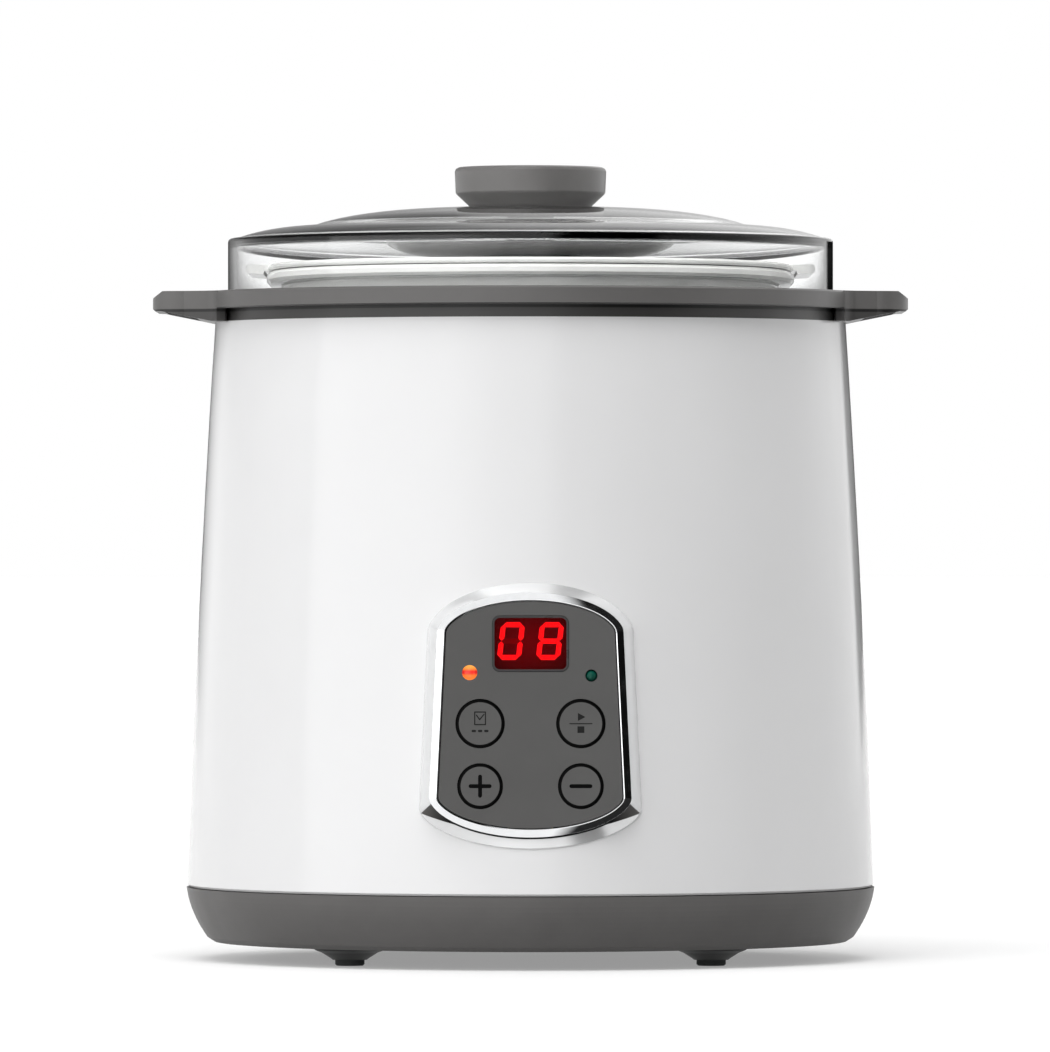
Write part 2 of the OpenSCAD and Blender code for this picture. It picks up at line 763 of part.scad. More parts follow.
module thermal_fuse() color([0.75, 0.68, 0.5]) {
    z = plate_under - 2.4;
    translate([0, -30, z]) rotate([0, 90, 0]) {
        translate([0, 0, -9]) cylinder(r = 2.2, h = 18, $fn = 48);
        translate([0, 0, -16]) cylinder(r = 0.6, h = 32, $fn = 32);
    }
    for (s = [-1, 1]) block([5, 3, 0.6], [0, -30 + s * 3.4, plate_under - 0.6]);
    translate([0, -30, z]) rotate([0, 90, 0]) difference() {
        translate([0, 0, -2.5]) cylinder(r = 3, h = 5, $fn = 48);
        translate([0, 0, -3]) cylinder(r = 2.25, h = 6, $fn = 48);
        translate([-inf / 2 - 2.4, 0, 0]) cube(inf, center = true);
    }
}

probe_r = 10.5;
probe_top = tank_z - slip;
spring_r = 7;
spring_wire = 0.6;
spring_turns = 5;

module temperature_probe() color(steel) {
    turned([
        [0, probe_top], [probe_r - 1, probe_top], [probe_r, probe_top - 1], [probe_r, plate_under - 3],
        [probe_r - 1.2, plate_under - 3], [probe_r - 1.2, probe_top - 1.4], [0, probe_top - 1.4]
    ]);
}

module probe_spring() color([0.5, 0.5, 0.52]) {
    low = bar_z + bar_t + spring_wire + 0.05;
    high = probe_top - 1.4 - spring_wire - 0.05;
    n = spring_turns * 18;
    swept([
        for (i = [0:n])
            [spring_r * cos(20 * i), spring_r * sin(20 * i), mix(low, high, i / n)]
    ], spring_wire, spring_wire, [0, 0, 1], 6);
}

// ---- Power board and inlet --------------------------------------------------

board_top = board_z + pcb_t;
block_at = [16, board_y + 21];
block_size = [34, 10, 11];
relay_at = [24, board_y + 2];

module power_board() color([0.10, 0.32, 0.16]) {
    difference() {
        block([board_w, board_d, pcb_t], [0, board_y, board_z]);
        at_board_holes() translate([0, 0, board_z - 1])
            cylinder(r = board_screw_r + gap, h = pcb_t + 2, $fn = 48);
    }
}

module board_screws() color(steel) {
    at_board_holes() translate([0, 0, board_top]) mirror([0, 0, 1])
        pan_screw(board_screw_r, pcb_t + 5, 2.6, 1.6);
}

// Laminated core with a wound bobbin through its two windows
module transformer() color([0.45, 0.40, 0.25]) {
    at = [-24, board_y + 6, board_top];
    core = [34, 16, 26];
    leg = 5;
    window = [6, 16];
    coil = [21, 26, window[1] - 1];
    edge = 1.4;
    difference() {
        block(core, at);
        for (s = [-1, 1]) block([window[0], core[1] + 2, window[1]], at + [s * (leg + window[0] / 2), 0, leg]);
    }
    difference() {
        block(coil, at + [0, 0, leg + 0.5]);
        for (s = [-1, 1], z = [0, coil[2]])
            translate(at + [-coil[0], s * coil[1] / 2, leg - 0.5 + z]) rotate([45, 0, 0])
                cube([2 * coil[0], edge, edge]);
    }
    block([core[0] - 6, coil[1], 1.6], at);
}

module relay() color([0.12, 0.25, 0.55]) {
    difference() {
        block([19, 15.5, 15], [relay_at[0], relay_at[1], board_top]);
        block([15, 11.5, 0.4], [relay_at[0], relay_at[1], board_top + 14.7]);
    }
}

module capacitors() color([0.15, 0.2, 0.35]) {
    for (p = [[6, -17, 6.5, 18], [22, -18, 4, 11], [32, -18, 4, 11]])
        translate([p[0], board_y + p[1], board_top]) difference() {
            cylinder(r = p[2], h = p[3]);
            translate([0, 0, 1.6]) ring(p[2] + 1, p[2] - 0.4, 0.7);
            for (a = [0, 90]) rotate(a) block([p[2] * 1.2, 0.5, 1], [0, 0, p[3] - 0.3]);
        }
}

module terminal_block() color([0.85, 0.85, 0.8]) {
    at = [block_at[0], block_at[1], board_top];
    difference() {
        block(block_size, at);
        for (i = [0:4]) translate([at[0] - 13.6 + i * 6.8, at[1], at[2] + block_size[2] - 5])
            cylinder(r = 2.2, h = 6, $fn = 32);
    }
}

inlet_flange_t = 2;
inlet_face_y = inlet_pad_y + inlet_flange_t;
socket_w = inlet_w - 3.2;
socket_h = inlet_h - 3.2;
socket_depth = 16.5;
inlet_back = inlet_face_y - socket_depth - 3;
pins = [[-7, -2], [7, -2], [0, 2]];

// A flat shape, seen from behind, carried along Y from y0 to y1 at the inlet
module along_y(y0, y1) {
    translate([0, y1, inlet_z]) rotate([90, 0, 0]) linear_extrude(y1 - y0) children();
}

module socket_shape(w, h) {
    polygon([
        [-w / 2, -h / 2], [w / 2, -h / 2], [w / 2, h / 2 - 5], [w / 2 - 5, h / 2],
        [-w / 2 + 5, h / 2], [-w / 2, h / 2 - 5]
    ]);
}

// The appliance inlet: a flanged socket with two sloped corners and three pins
module power_inlet() color([0.08, 0.08, 0.08]) {
    difference() {
        union() {
            along_y(inlet_pad_y, inlet_face_y) rounded(inlet_w + 6, inlet_h + 4.4, 2);
            along_y(inlet_back, inlet_pad_y + 0.5) square([inlet_w, inlet_h], center = true);
        }
        along_y(inlet_face_y - socket_depth, inlet_face_y + 1) socket_shape(socket_w, socket_h);
        for (p = pins) block([2 + slip, 20, 4 + slip], [p[0], inlet_back, inlet_z + p[1] - 2 - slip / 2]);
    }
}

pin_tip_y = inlet_face_y - 5.2;
tab_y = inlet_back - 7;

module inlet_pins() color([0.8, 0.72, 0.45]) {
    for (p = pins) {
        l = pin_tip_y - tab_y;
        difference() {
            block([2, l, 4], [p[0], tab_y + l / 2, inlet_z + p[1] - 2]);
            for (s = [-1, 1]) translate([p[0] + s * 1.3, pin_tip_y, inlet_z + p[1] - 3])
                rotate(45) block([0.9, 0.9, 6]);
            translate([p[0] - 2, tab_y + 2.6, inlet_z + p[1]]) rotate([0, 90, 0]) cylinder(r = 0.8, h = 4, $fn = 24);
        }
    }
}

lead_r = 1.3;

// Leads from the inlet's tabs to the terminal block
module mains_leads() color([0.45, 0.25, 0.15]) {
    top = board_top + block_size[2];
    for (i = [0:2]) {
        from = [pins[i][0], tab_y - 0.2, inlet_z + pins[i][1]];
        to = [block_at[0] - 13.6 + i * 6.8, block_at[1], top + 4];
        swept(concat(
            [from],
            bend(from - [0, 5, 0], [to[0], to[1] + 16, from[2] + 2 + i], to + [0, 0, 3]),
            [[to[0], to[1], top - 4.6]]
        ), lead_r, lead_r, [1, 0, 0]);
    }
}

// Leads from the terminal block up to the element's terminals
module heater_leads() color([0.85, 0.83, 0.75]) {
    top = board_top + block_size[2];
    for (i = [0, 1]) {
        a = i == 0 ? terminal_angle : -terminal_angle;
        to = [element_r * cos(a), element_r * sin(a), element_z - 19.2];
        from = [block_at[0] - 13.6 + (4 - i) * 6.8, block_at[1], top - 4.6];
        swept(concat(
            [from],
            bend([from[0], from[1], top + 2], [to[0] + 6, mix(from[1], to[1], 0.5), top + 1], to - [0, 0, 4]),
            [to]
        ), lead_r, lead_r, [0, 1, 0]);
    }
}

// ---- Control panel ----------------------------------------------------------

// The bright frame: inner bevel, outer skirt down to the curved shell, and a
// sleeve that passes through the shell and carries the face and the board
module panel_bezel() color(chrome) on_panel() {
    crest = frame_in + 0.25;
    inner = frame_in + bevel_w;
    foot_d = inner + frame_skirt_w;
    sleeve_d = frame_in + sleeve_t;
    // each stop: how far out, height, and 1 where the height follows the shell
    stops = [
        [frame_in, ledge_z, 0], [frame_in, -0.3, 0], [crest, 0, 0], [inner - 0.3, -0.55, 0],
        [inner, -1.1, 0], [foot_d, 0.15, 1], [sleeve_d, 0.15, 1], [sleeve_d, sleeve_z, 0],
        [frame_in, sleeve_z, 0], [frame_in, ledge_z - ledge_t, 0],
        [-2, ledge_z - ledge_t, 0], [-2, ledge_z, 0]
    ];
    rings = [
        for (s = stops) [
            for (p = outline(s[0])) [p[0], p[1], s[2] == 1 ? wall_z(p[0], p[1]) + s[1] : s[1]]
        ]
    ];
    n = len(rings[0]);
    m = len(stops);
    faces = [
        for (j = [0:m - 1], i = [0:n - 1])
            let (a = j * n + i, b = j * n + (i + 1) % n, k = (j + 1) % m, c = k * n + (i + 1) % n, d = k * n + i)
            each [[a, b, c], [a, c, d]]
    ];
    difference() {
        union() {
            polyhedron([for (r = rings) each r], faces, convexity = 6);
            for (p = posts) translate([p[0], p[1], board_front]) cylinder(r = post_r, h = ledge_z - board_front, $fn = 48);
            for (s = [-1, 1], y = [-14, 14]) translate([s * side_x(sleeve_d - 0.4, y), y - 4, sleeve_z])
                rotate([-90, 0, 0]) linear_extrude(8)
                    polygon([[0, 0], [s * 1.9, -1.4], [s * 1.9, -1.9], [0, -1.9]]);
        }
        for (p = posts) translate([p[0], p[1], board_front - 1])
            cylinder(r = panel_screw_r + slip / 2, h = 7, $fn = 32);
    }
}

module panel_face() color(grey) on_panel() {
    difference() {
        panel_slab(0, face_back, face_front);
        for (b = buttons) translate([b[0], b[1], face_back - 1]) cylinder(r = b[2] + gap, h = face_t + 2);
        for (l = lamps) translate([l[0], l[1], face_back - 1]) cylinder(r = l[2] + slip, h = face_t + 2, $fn = 48);
        translate([0, window_y, face_back - 1]) linear_extrude(face_t + 2)
            rounded(window_w + 0.4, window_h + 0.4, 2.7);
    }
}

window_front = face_front - 0.1;
window_back = board_front + 8 + 0.4;

module display_window() color([0.3, 0.02, 0.03]) on_panel() {
    translate([0, window_y, window_back]) linear_extrude(window_front - window_back)
        rounded(window_w, window_h, 2.5);
}

module_front = board_front + 8;
module_size = [25, 18.6];
digit_h = 12.7;
digit_w = 8;
digit_pitch = 13.1;
digit_lift = 0.95;
stroke = 1.8;
stroke_gap = 0.3;
slant = 7;

// One seven-segment stroke, pointed at both ends
module stroke_shape(l) {
    c = stroke / 2;
    polygon([[-l / 2 + c, c], [l / 2 - c, c], [l / 2, 0], [l / 2 - c, -c], [-l / 2 + c, -c], [-l / 2, 0]]);
}

module digit() {
    h = (digit_h - stroke) / 2;
    w = digit_w - stroke;
    for (y = [-h, 0, h]) translate([y * tan(slant), y]) stroke_shape(w - stroke_gap);
    for (x = [-1, 1], y = [-1, 1])
        translate([x * w / 2 + y * h / 2 * tan(slant), y * h / 2])
            rotate(90 - slant) stroke_shape(h - stroke_gap);
}

module display_module() color([0.1, 0.1, 0.1]) on_panel() {
    difference() {
        translate([0, window_y, board_front]) linear_extrude(module_front - board_front)
            square(module_size, center = true);
        for (s = [-1, 1]) translate([s * digit_pitch / 2, window_y + digit_lift, module_front - 0.6])
            linear_extrude(1) digit();
    }
}

module display_segments() color([1, 0.1, 0.15]) on_panel() {
    for (s = [-1, 1]) translate([s * digit_pitch / 2, window_y + digit_lift, module_front - 0.6])
        linear_extrude(0.7) digit();
}

// A lamp with a domed end and two leads through the board
module lamp(at, tip) {
    r = at[2];
    on_panel() translate([at[0], at[1], 0]) {
        translate([0, 0, tip - r - 5]) cylinder(r = r, h = 5, $fn = 48);
        translate([0, 0, tip - r]) sphere(r, $fn = 48);
        translate([0, 0, tip - r - 5.8]) cylinder(r = r + 0.4, h = 0.8, $fn = 48);
        for (s = [-1, 1]) translate([s * 1.27 - 0.25, -0.25, board_front]) cube([0.5, 0.5, tip - r - 5.5 - board_front]);
    }
}

module red_lamp() color([0.95, 0.25, 0.15]) lamp(lamps[0], 0.2);
module green_lamp() color([0.0, 0.30, 0.22]) lamp(lamps[1], -0.1);

module control_board() color([0.10, 0.32, 0.16]) on_panel() {
    difference() {
        panel_slab(-0.7, board_back, board_front);
        for (p = posts) translate([p[0], p[1], board_back - 1])
            cylinder(r = panel_screw_r + gap, h = pcb_t + 2, $fn = 32);
    }
}

module panel_screws() color(steel) on_panel() {
    for (p = posts) translate([p[0], p[1], board_back]) pan_screw(panel_screw_r, pcb_t + 5, 2.2, 1.4);
}

chip_t = 1.9;
socket_y = -27;
socket_t = 2.4;
ribbon_socket = [20, 5, socket_t];

module control_chip() color(dark) on_panel() {
    difference() {
        block([13, 10, chip_t], [0, -2, board_back - chip_t]);
        translate([-5, 1.6, board_back - chip_t - 1]) cylinder(r = 0.7, h = 1.3, $fn = 24);
    }
    block(ribbon_socket, [0, socket_y, board_back - socket_t]);
}

// Flat cable from the control board's socket down to the power board
module ribbon_cable() color([0.75, 0.75, 0.75]) {
    start = [
        0,
        panel_y + socket_y * sin(panel_lean) - (board_back - socket_t) * cos(panel_lean) + slip,
        panel_z + socket_y * cos(panel_lean) + (board_back - socket_t) * sin(panel_lean)
    ];
    end_y = board_y - board_d / 2 + 3;
    low = board_top + 5;
    path = concat(
        bend(start + [0, 0.1, 0], start + [0, 1.8, 0], start + [0, 1.8, -4], 4),
        bend([0, start[1] + 1.7, low + 14], [0, start[1] + 1.7, low], [0, start[1] + 16, low]),
        bend([0, end_y - 12, low], [0, end_y, low], [0, end_y, board_top + slip])
    );
    swept(path, 7, 0.5, [1, 0, 0]);
}

switch_h = 2.7;
actuator_h = 0.8;

module tact_switches() color(dark) on_panel() {
    for (b = buttons) translate([b[0], b[1], board_front]) {
        block([6, 6, switch_h]);
        cylinder(r = 1.75, h = switch_h + actuator_h, $fn = 48);
    }
}

// A push button: cap, retaining flange behind the face, and plunger
module push_button(b) color(grey) {
    cap_front = face_front + 0.3;
    flange_top = face_back - gap;
    flange_low = flange_top - 1;
    plunger_end = board_front + switch_h + actuator_h + button_travel + 0.1;
    r = b[2];
    on_panel() translate([b[0], b[1], 0]) turned([
        [0, plunger_end], [2.5, plunger_end], [2.5, flange_low], [r + 0.9, flange_low],
        [r + 0.9, flange_top], [r, flange_top], [r, cap_front - 0.35], [r - 0.35, cap_front],
        [0, cap_front]
    ]);
}

module function_button() push_button(buttons[0]);
module start_button() push_button(buttons[1]);
module plus_button() push_button(buttons[2]);
module minus_button() push_button(buttons[3]);

// ---- Ceramic pot and lid ----------------------------------------------------

pot_r = tank_r - tank_wall - water_gap;
pot_neck_r = pot_r + 1.2;
pot_top = rim_top + pot_stand;
pot_in = pot_r - pot_wall;
pot_bead_r = pot_neck_r + bead_reach;
foot_ring_r = element_r - 1;

module ceramic_pot() color(cream) {
    corner = [24, 20];
    foot_w = 3;
    foot_rise = 3;
    belly_z = pot_foot_z + foot_rise;
    outer = quarter([pot_r - corner[0], belly_z + corner[1]], corner[0], corner[1]);
    inner = quarter(
        [pot_in - corner[0] + 3, belly_z + pot_wall + corner[1] - 3], corner[0] - 3, corner[1] - 3);
    turned(concat(
        [
            [0, belly_z], [foot_ring_r - foot_w - 1, belly_z], [foot_ring_r - foot_w, pot_foot_z],
            [foot_ring_r + foot_w, pot_foot_z], [foot_ring_r + foot_w + 1, belly_z]
        ],
        [for (p = outer) if (p[0] > foot_ring_r + foot_w + 1) p],
        [
            [pot_r, pot_top - bead_h - 10], [pot_neck_r, pot_top - bead_h - 6],
            [pot_neck_r, pot_top - bead_h - 0.6], [pot_neck_r + 0.8, pot_top - bead_h],
            [pot_bead_r - 0.9, pot_top - bead_h], [pot_bead_r, pot_top - bead_h + 1],
            [pot_bead_r, pot_top - 1], [pot_bead_r - 1, pot_top],
            [pot_in + 1.4, pot_top], [pot_in, pot_top - 1.4]
        ],
        reverse(inner),
        [[0, belly_z + pot_wall]]
    ));
}

lid2_z = pot_top + gap;
lid2_t = 1.9;
lid2_rise = 1.8;
lid2_plug_r = pot_in - 0.8;
lid2_top = lid2_z + lid2_t + lid2_rise;

// The ceramic lid: a low dome with a locating skirt and two lift tabs
module ceramic_lid() color(cream) {
    dome = [
        for (i = [0:steps])
            let (t = i / steps, r = (pot_bead_r - 1.2) * (1 - t))
            [r, lid2_z + lid2_t + lid2_rise * pow(t, 0.75)]
    ];
    tab_r = pot_bead_r + tab_reach;
    tab = [
        [pot_bead_r - 6, lid2_z], [pot_bead_r + gap, lid2_z], [pot_bead_r + gap + 0.4, lid2_z - 1],
        [tab_r - 1, lid2_z - 1], [tab_r, lid2_z], [tab_r, lid2_z + lid2_t - 0.8],
        [tab_r - 0.9, lid2_z + lid2_t], [pot_bead_r - 6, lid2_z + lid2_t]
    ];
    turned(concat(
        [
            [0, lid2_z - 0.3], [lid2_plug_r - 5, lid2_z - 0.9], [lid2_plug_r - 4, lid2_z - 6],
            [lid2_plug_r - 0.8, lid2_z - 6], [lid2_plug_r, lid2_z - 5.2], [lid2_plug_r, lid2_z],
            [pot_bead_r - 0.6, lid2_z], [pot_bead_r - 0.2, lid2_z + 0.6], [pot_bead_r - 0.2, lid2_z + 1.2]
        ],
        dome
    ));
    for (s = [0, 180]) rotate(s) intersection() {
        rotate([90, 0, 0]) translate([0, 0, -tab_w]) linear_extrude(2 * tab_w) polygon(tab);
        translate([0, 0, lid2_z - 3]) linear_extrude(10) {
            translate([pot_bead_r - 8, -tab_w / 2]) square([tab_reach + 3, tab_w]);
            translate([pot_bead_r - 8, -tab_w / 2 + 5]) square([tab_reach + 8, tab_w - 10]);
            for (y = [-1, 1]) translate([tab_r - 5, y * (tab_w / 2 - 5)]) circle(5);
        }
    }
}

// ---- Clear lid and knob -----------------------------------------------------

lid_hole_r = 2.6;
dome_t = lid_wall - 0.1;

module clear_lid() color([0.85, 0.9, 0.92, 0.35]) {
    outer_shoulder = [
        for (i = [0:steps]) let (r = mix(shoulder_r, crease_r, i / steps)) [r, lid_height(r)]
    ];
    outer_dome = [
        for (i = [1:steps + 4])
            let (r = mix(crease_r, lid_hole_r, sin(90 * i / (steps + 4)))) [r, lid_height(r)]
    ];
    top = concat(outer_shoulder, outer_dome);
    turned(concat(
        [
            [lid_r - lid_wall, lid_z + 0.4], [lid_r - lid_wall + 0.4, lid_z], [lid_r - 0.4, lid_z],
            [lid_r, lid_z + 0.4], [lid_r, skirt_top - 2], [lid_r - 0.6, skirt_top - 0.6],
            [lid_r - 2, skirt_top]
        ],
        top,
        [for (p = reverse(top)) if (p[0] < lid_r - lid_wall - 1.5) p - [0, dome_t]],
        [[lid_r - lid_wall - 0.6, skirt_top - dome_t - 0.1], [lid_r - lid_wall, skirt_top - dome_t - 1]]
    ));
}

bowl_z = lid2_top + 1.6;
washer_r = 18.3;
washer_t = 1.3;
bowl_t = 1.6;
hub_r = 8;
knob_screw_r = 2;
knob_screw_z = bowl_z + 1.2;

// Shallow bowl under the dome that gathers the drips, on a central hub
module drip_bowl() color([0.6, 0.6, 0.6, 0.8]) {
    hub_top = lid_height(hub_r) - dome_t - slip;
    outer = quarter([bowl_r - 22, bowl_z + bowl_h - 1], 22, bowl_h - 1);
    inner = quarter([bowl_r - 22, bowl_z + bowl_h - 1], 22 - bowl_t, bowl_h - 1 - bowl_t);
    difference() {
        turned(concat(
            [[washer_r + 0.2, bowl_z]], outer,
            [[bowl_r, bowl_z + bowl_h], [bowl_r - bowl_t, bowl_z + bowl_h]],
            reverse(inner),
            [
                [hub_r + 1.5, bowl_z + washer_t + 0.6 + bowl_t], [hub_r, bowl_z + washer_t + 2 + bowl_t],
                [hub_r, hub_top], [knob_screw_r + slip, hub_top],
                [knob_screw_r + slip, bowl_z + washer_t], [washer_r + 0.2, bowl_z + washer_t]
            ]
        ));
    }
}

module knob_washer() color(dark) {
    difference() {
        turned([
            [knob_screw_r + slip, bowl_z + washer_t], [washer_r, bowl_z + washer_t],
            [washer_r, bowl_z + 0.3], [washer_r - 0.5, bowl_z - 0.2], [5, bowl_z - 0.2],
            [4.6, bowl_z + 0.8], [knob_screw_r + slip, bowl_z + 0.8]
        ]);
    }
}

module knob_screw() color(steel) {
    translate([0, 0, bowl_z + 0.8]) pan_screw(knob_screw_r, dome_top + 8 - bowl_z, 4, 0.9);
}

module lid_knob() color(grey) {
    top = dome_top + knob_h;
    foot = knob_r * 0.78;
    waist = dome_top + knob_h * 0.33;
    difference() {
        turned([
            [0, dome_top + 2], [5, dome_top + 2], [5, top - 6], [foot - 5.4, top - 6], [foot - 3, top - 8],
            [foot - 3, dome_top], [foot, dome_top], [foot + 0.8, dome_top + 0.5], [knob_r - 0.6, waist],
            [knob_r - 0.3, waist + 0.6], [knob_r, top - 1.4], [knob_r - 0.4, top - 0.5],
            [knob_r - 1.4, top], [knob_r - 6, top - 0.15], [0, top - 0.4]
        ]);
        translate([0, 0, dome_top]) cylinder(r = knob_screw_r + slip / 2, h = 9, $fn = 48);
    }
}

base_housing();
foot(0);  // foot_front_left
foot(1);  // foot_front_right
foot(2);  // foot_rear_left
foot(3);  // foot_rear_right
foot_pads();
outer_shell();
top_ring();
tank_gasket();
water_tank();
heat_shield();
heater_plate();
heating_element();
heater_bracket();
thermostat();
thermal_fuse();
temperature_probe();
probe_spring();
power_board();
transformer();
relay();
capacitors();
terminal_block();
board_screws();
base_screws();
power_inlet();
inlet_pins();
mains_leads();
heater_leads();
ribbon_cable();
panel_bezel();
panel_face();
display_window();
display_module();
display_segments();
red_lamp();
green_lamp();
control_board();
control_chip();
tact_switches();
panel_screws();
function_button();
start_button();
plus_button();
minus_button();
ceramic_pot();
ceramic_lid();
clear_lid();
drip_bowl();
knob_washer();
knob_screw();
lid_knob();
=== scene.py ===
"""Looks of the water-bath slow cooker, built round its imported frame.

Metres, +Z up, the control panel faces -Y. Sizes below are written in
millimetres and turned into metres where a mesh is made.
"""

import math

import bmesh
import bpy
from mathutils import Matrix, Vector


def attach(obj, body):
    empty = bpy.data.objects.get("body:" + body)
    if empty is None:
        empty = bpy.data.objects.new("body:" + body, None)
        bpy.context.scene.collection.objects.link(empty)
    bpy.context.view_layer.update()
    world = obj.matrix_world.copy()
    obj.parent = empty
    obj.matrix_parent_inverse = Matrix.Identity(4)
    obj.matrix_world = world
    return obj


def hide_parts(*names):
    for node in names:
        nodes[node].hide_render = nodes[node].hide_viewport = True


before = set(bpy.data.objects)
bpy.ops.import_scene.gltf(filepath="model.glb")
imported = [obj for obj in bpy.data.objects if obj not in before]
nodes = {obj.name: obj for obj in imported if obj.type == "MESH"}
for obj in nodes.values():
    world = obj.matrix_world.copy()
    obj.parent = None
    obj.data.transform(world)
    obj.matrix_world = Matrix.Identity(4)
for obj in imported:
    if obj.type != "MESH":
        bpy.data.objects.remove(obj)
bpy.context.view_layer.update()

MM = 0.001

# ---- Sizes shared with the frame, in millimetres ---------------------------

PANEL_Y = -118.24         # the panel's front plane at its centre
PANEL_Z = 86.2
PANEL_LEAN = 2.3          # degrees from the vertical

FACE_TOP_W = 56.5
FACE_BOTTOM_W = 61.9
FACE_SIDE_H = 56.6
FACE_BOW = 9.8
CORNER_CUT = 1.2
BOW_REACH = 1.025         # the bowed ends' ellipses reach this much wider than the corners

BUTTON_X = 16.9
BIG_BUTTON = (-2.9, 8.0)      # height on the panel, radius
SMALL_BUTTON = (-23.9, 7.4)
CAP_FRONT = -0.1
CAP_DIP = 0.08
RING_W = 0.86             # black edge of a button: painted shade of the gap round the key, carried onto the cap's edge
WINDOW_Y = 23.9
WINDOW = (25.5, 18.6)
MODULE_FRONT = -3.0
DIGIT_H = 12.7
DIGIT_W = 8.1
DIGIT_PITCH = 13.1
DIGIT_LIFT = 0.95
DIGIT_STROKE = 1.7
DIGIT_GAP = 0.16
DIGIT_SLANT = 7
LAMP_Z = 100.4
LAMP_R = 2.45
LAMP_GLOW = [
    (0.0, (0.9, 0.25, 0.05)), (0.3, (1.0, 0.20, 0.03)), (0.45, (0.60, 0.02, 0.02)),
    (0.6, (0.60, 0.02, 0.02)), (0.75, (1.0, 0.30, 0.05)), (1.0, (1.0, 0.55, 0.12)),
]

SHELL_Z = 25.3
SHELL_H = 194.7
SHELL_TOP_R = 109.0
SHELL_FOOT_R = 118.6
SHELL_BULGE = 0.7

LID_R = 104.6
LID_WALL = 2.6
LID_Z = 229.1
SKIRT_TOP = 248.9         # where the skirt and the shoulder would meet, unrounded
SHOULDER_R = 101.5
SHOULDER_Z = 249.0
SHOULDER_RISE = 4.2
CREASE_R = 76.1
CREASE_Z = 253.2
DOME_RISE = 6.6
DOME_T = 2.5
DOME_FLATNESS = 3.5       # higher is flatter in the middle and steeper at the crease
CROWN = 0.9               # the power of shoulder and dome: lower is rounder at the edge
SHOULDER_STEPS = 16
DOME_STEPS = 24
LID_RIM_ROUND = 0.8       # rounding of the skirt's foot and of its upper corner, out and in
LID_CORNER_ROUND = 3.1
LID_INNER_ROUND = 1.8
LID_HOLE_R = 2.6
NECK_Z = 224.3            # the ring's band ends and its neck begins


# ---- Small helpers ---------------------------------------------------------

def mix(a, b, t):
    """From a at t = 0 to b at t = 1."""
    return a + (b - a) * t


def add(mesh_name, verts, faces, body, smooth_deg, materials):
    """A mesh piece from points in millimetres, riding on a body."""
    mesh = bpy.data.meshes.new(mesh_name)
    mesh.from_pydata([Vector(v) * MM for v in verts], [], faces)
    bm = bmesh.new()
    bm.from_mesh(mesh)
    bmesh.ops.recalc_face_normals(bm, faces=bm.faces)
    bm.to_mesh(mesh)
    bm.free()
    for m in materials:
        mesh.materials.append(m)
    mesh.shade_smooth()
    mesh.set_sharp_from_angle(angle=math.radians(smooth_deg))
    obj = bpy.data.objects.new(mesh_name, mesh)
    bpy.context.scene.collection.objects.link(obj)
    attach(obj, body)
    return obj


def rounded(points, radii, steps):
    """A closed outline of (r, z) points, each corner rounded by its radius."""
    out = []
    n = len(points)
    for i, r in enumerate(radii):
        p = Vector(points[i])
        a = Vector(points[i - 1]) - p
        b = Vector(points[(i + 1) % n]) - p
        if r <= 0 or a.length < 1e-6 or b.length < 1e-6:
            out.append(tuple(p))
            continue
        r = min(r, a.length * 0.45, b.length * 0.45)
        start, end = p + a.normalized() * r, p + b.normalized() * r
        for k in range(steps + 1):
            t = k / steps
            out.append(tuple(start * (1 - t) ** 2 + p * 2 * t * (1 - t) + end * t * t))
    return out


def turned(r, z, k, segments):
    """Point k of a circle of radius r at height z."""
    angle = 2 * math.pi * k / segments
    return (r * math.cos(angle), r * math.sin(angle), z)


def lathe(name, profile, body, segments, smooth_deg, materials, paint=None, at=None):
    """A closed (r, z) outline turned about an axis; points at r = 0 share one vertex."""
    verts, rings = [], []
    for r, z in profile:
        if r < 1e-6:
            rings.append([len(verts)] * segments)
            verts.append((0, 0, z))
        else:
            rings.append(list(range(len(verts), len(verts) + segments)))
            verts += [turned(r, z, k, segments) for k in range(segments)]
    faces = []
    for i in range(len(profile)):
        a, b = rings[i], rings[(i + 1) % len(profile)]
        for k in range(segments):
            m = (k + 1) % segments
            quad = []
            for v in (a[k], a[m], b[m], b[k]):
                if v not in quad:
                    quad.append(v)
            if len(quad) > 2:
                faces.append(quad)
    if at is not None:
        verts = [tuple(at @ Vector(v)) for v in verts]
    obj = add(name, verts, faces, body, smooth_deg, materials)
    if paint is not None:
        for f in obj.data.polygons:
            f.material_index = paint(f)
    return obj


ARC_STEPS = 8             # faces in the round end of a stroke or the corner of a rectangle

# The panel's own frame: x to the right, y up the panel, z out of its front
TO_PANEL = (
    Matrix.Translation((0, PANEL_Y, PANEL_Z))
    @ Matrix.Rotation(math.radians(90 - PANEL_LEAN), 4, "X")
)


def on_panel(x, y, z):
    """A point in the panel's own frame, in the part's frame."""
    return tuple(TO_PANEL @ Vector((x, y, z)))


def slab(name, outlines, z0, z1, body, material):
    """Flat raised marks on the panel: each outline is a closed convex ring of (x, y)."""
    verts, faces = [], []
    for ring in outlines:
        n = len(ring)
        base = len(verts)
        verts += [on_panel(x, y, z0) for x, y in ring]
        verts += [on_panel(x, y, z1) for x, y in ring]
        faces.append([base + k for k in range(n)][::-1])
        faces.append([base + n + k for k in range(n)])
        for k in range(n):
            m = (k + 1) % n
            faces.append([base + k, base + m, base + n + m, base + n + k])
    return add(name, verts, faces, body, 40, [material])


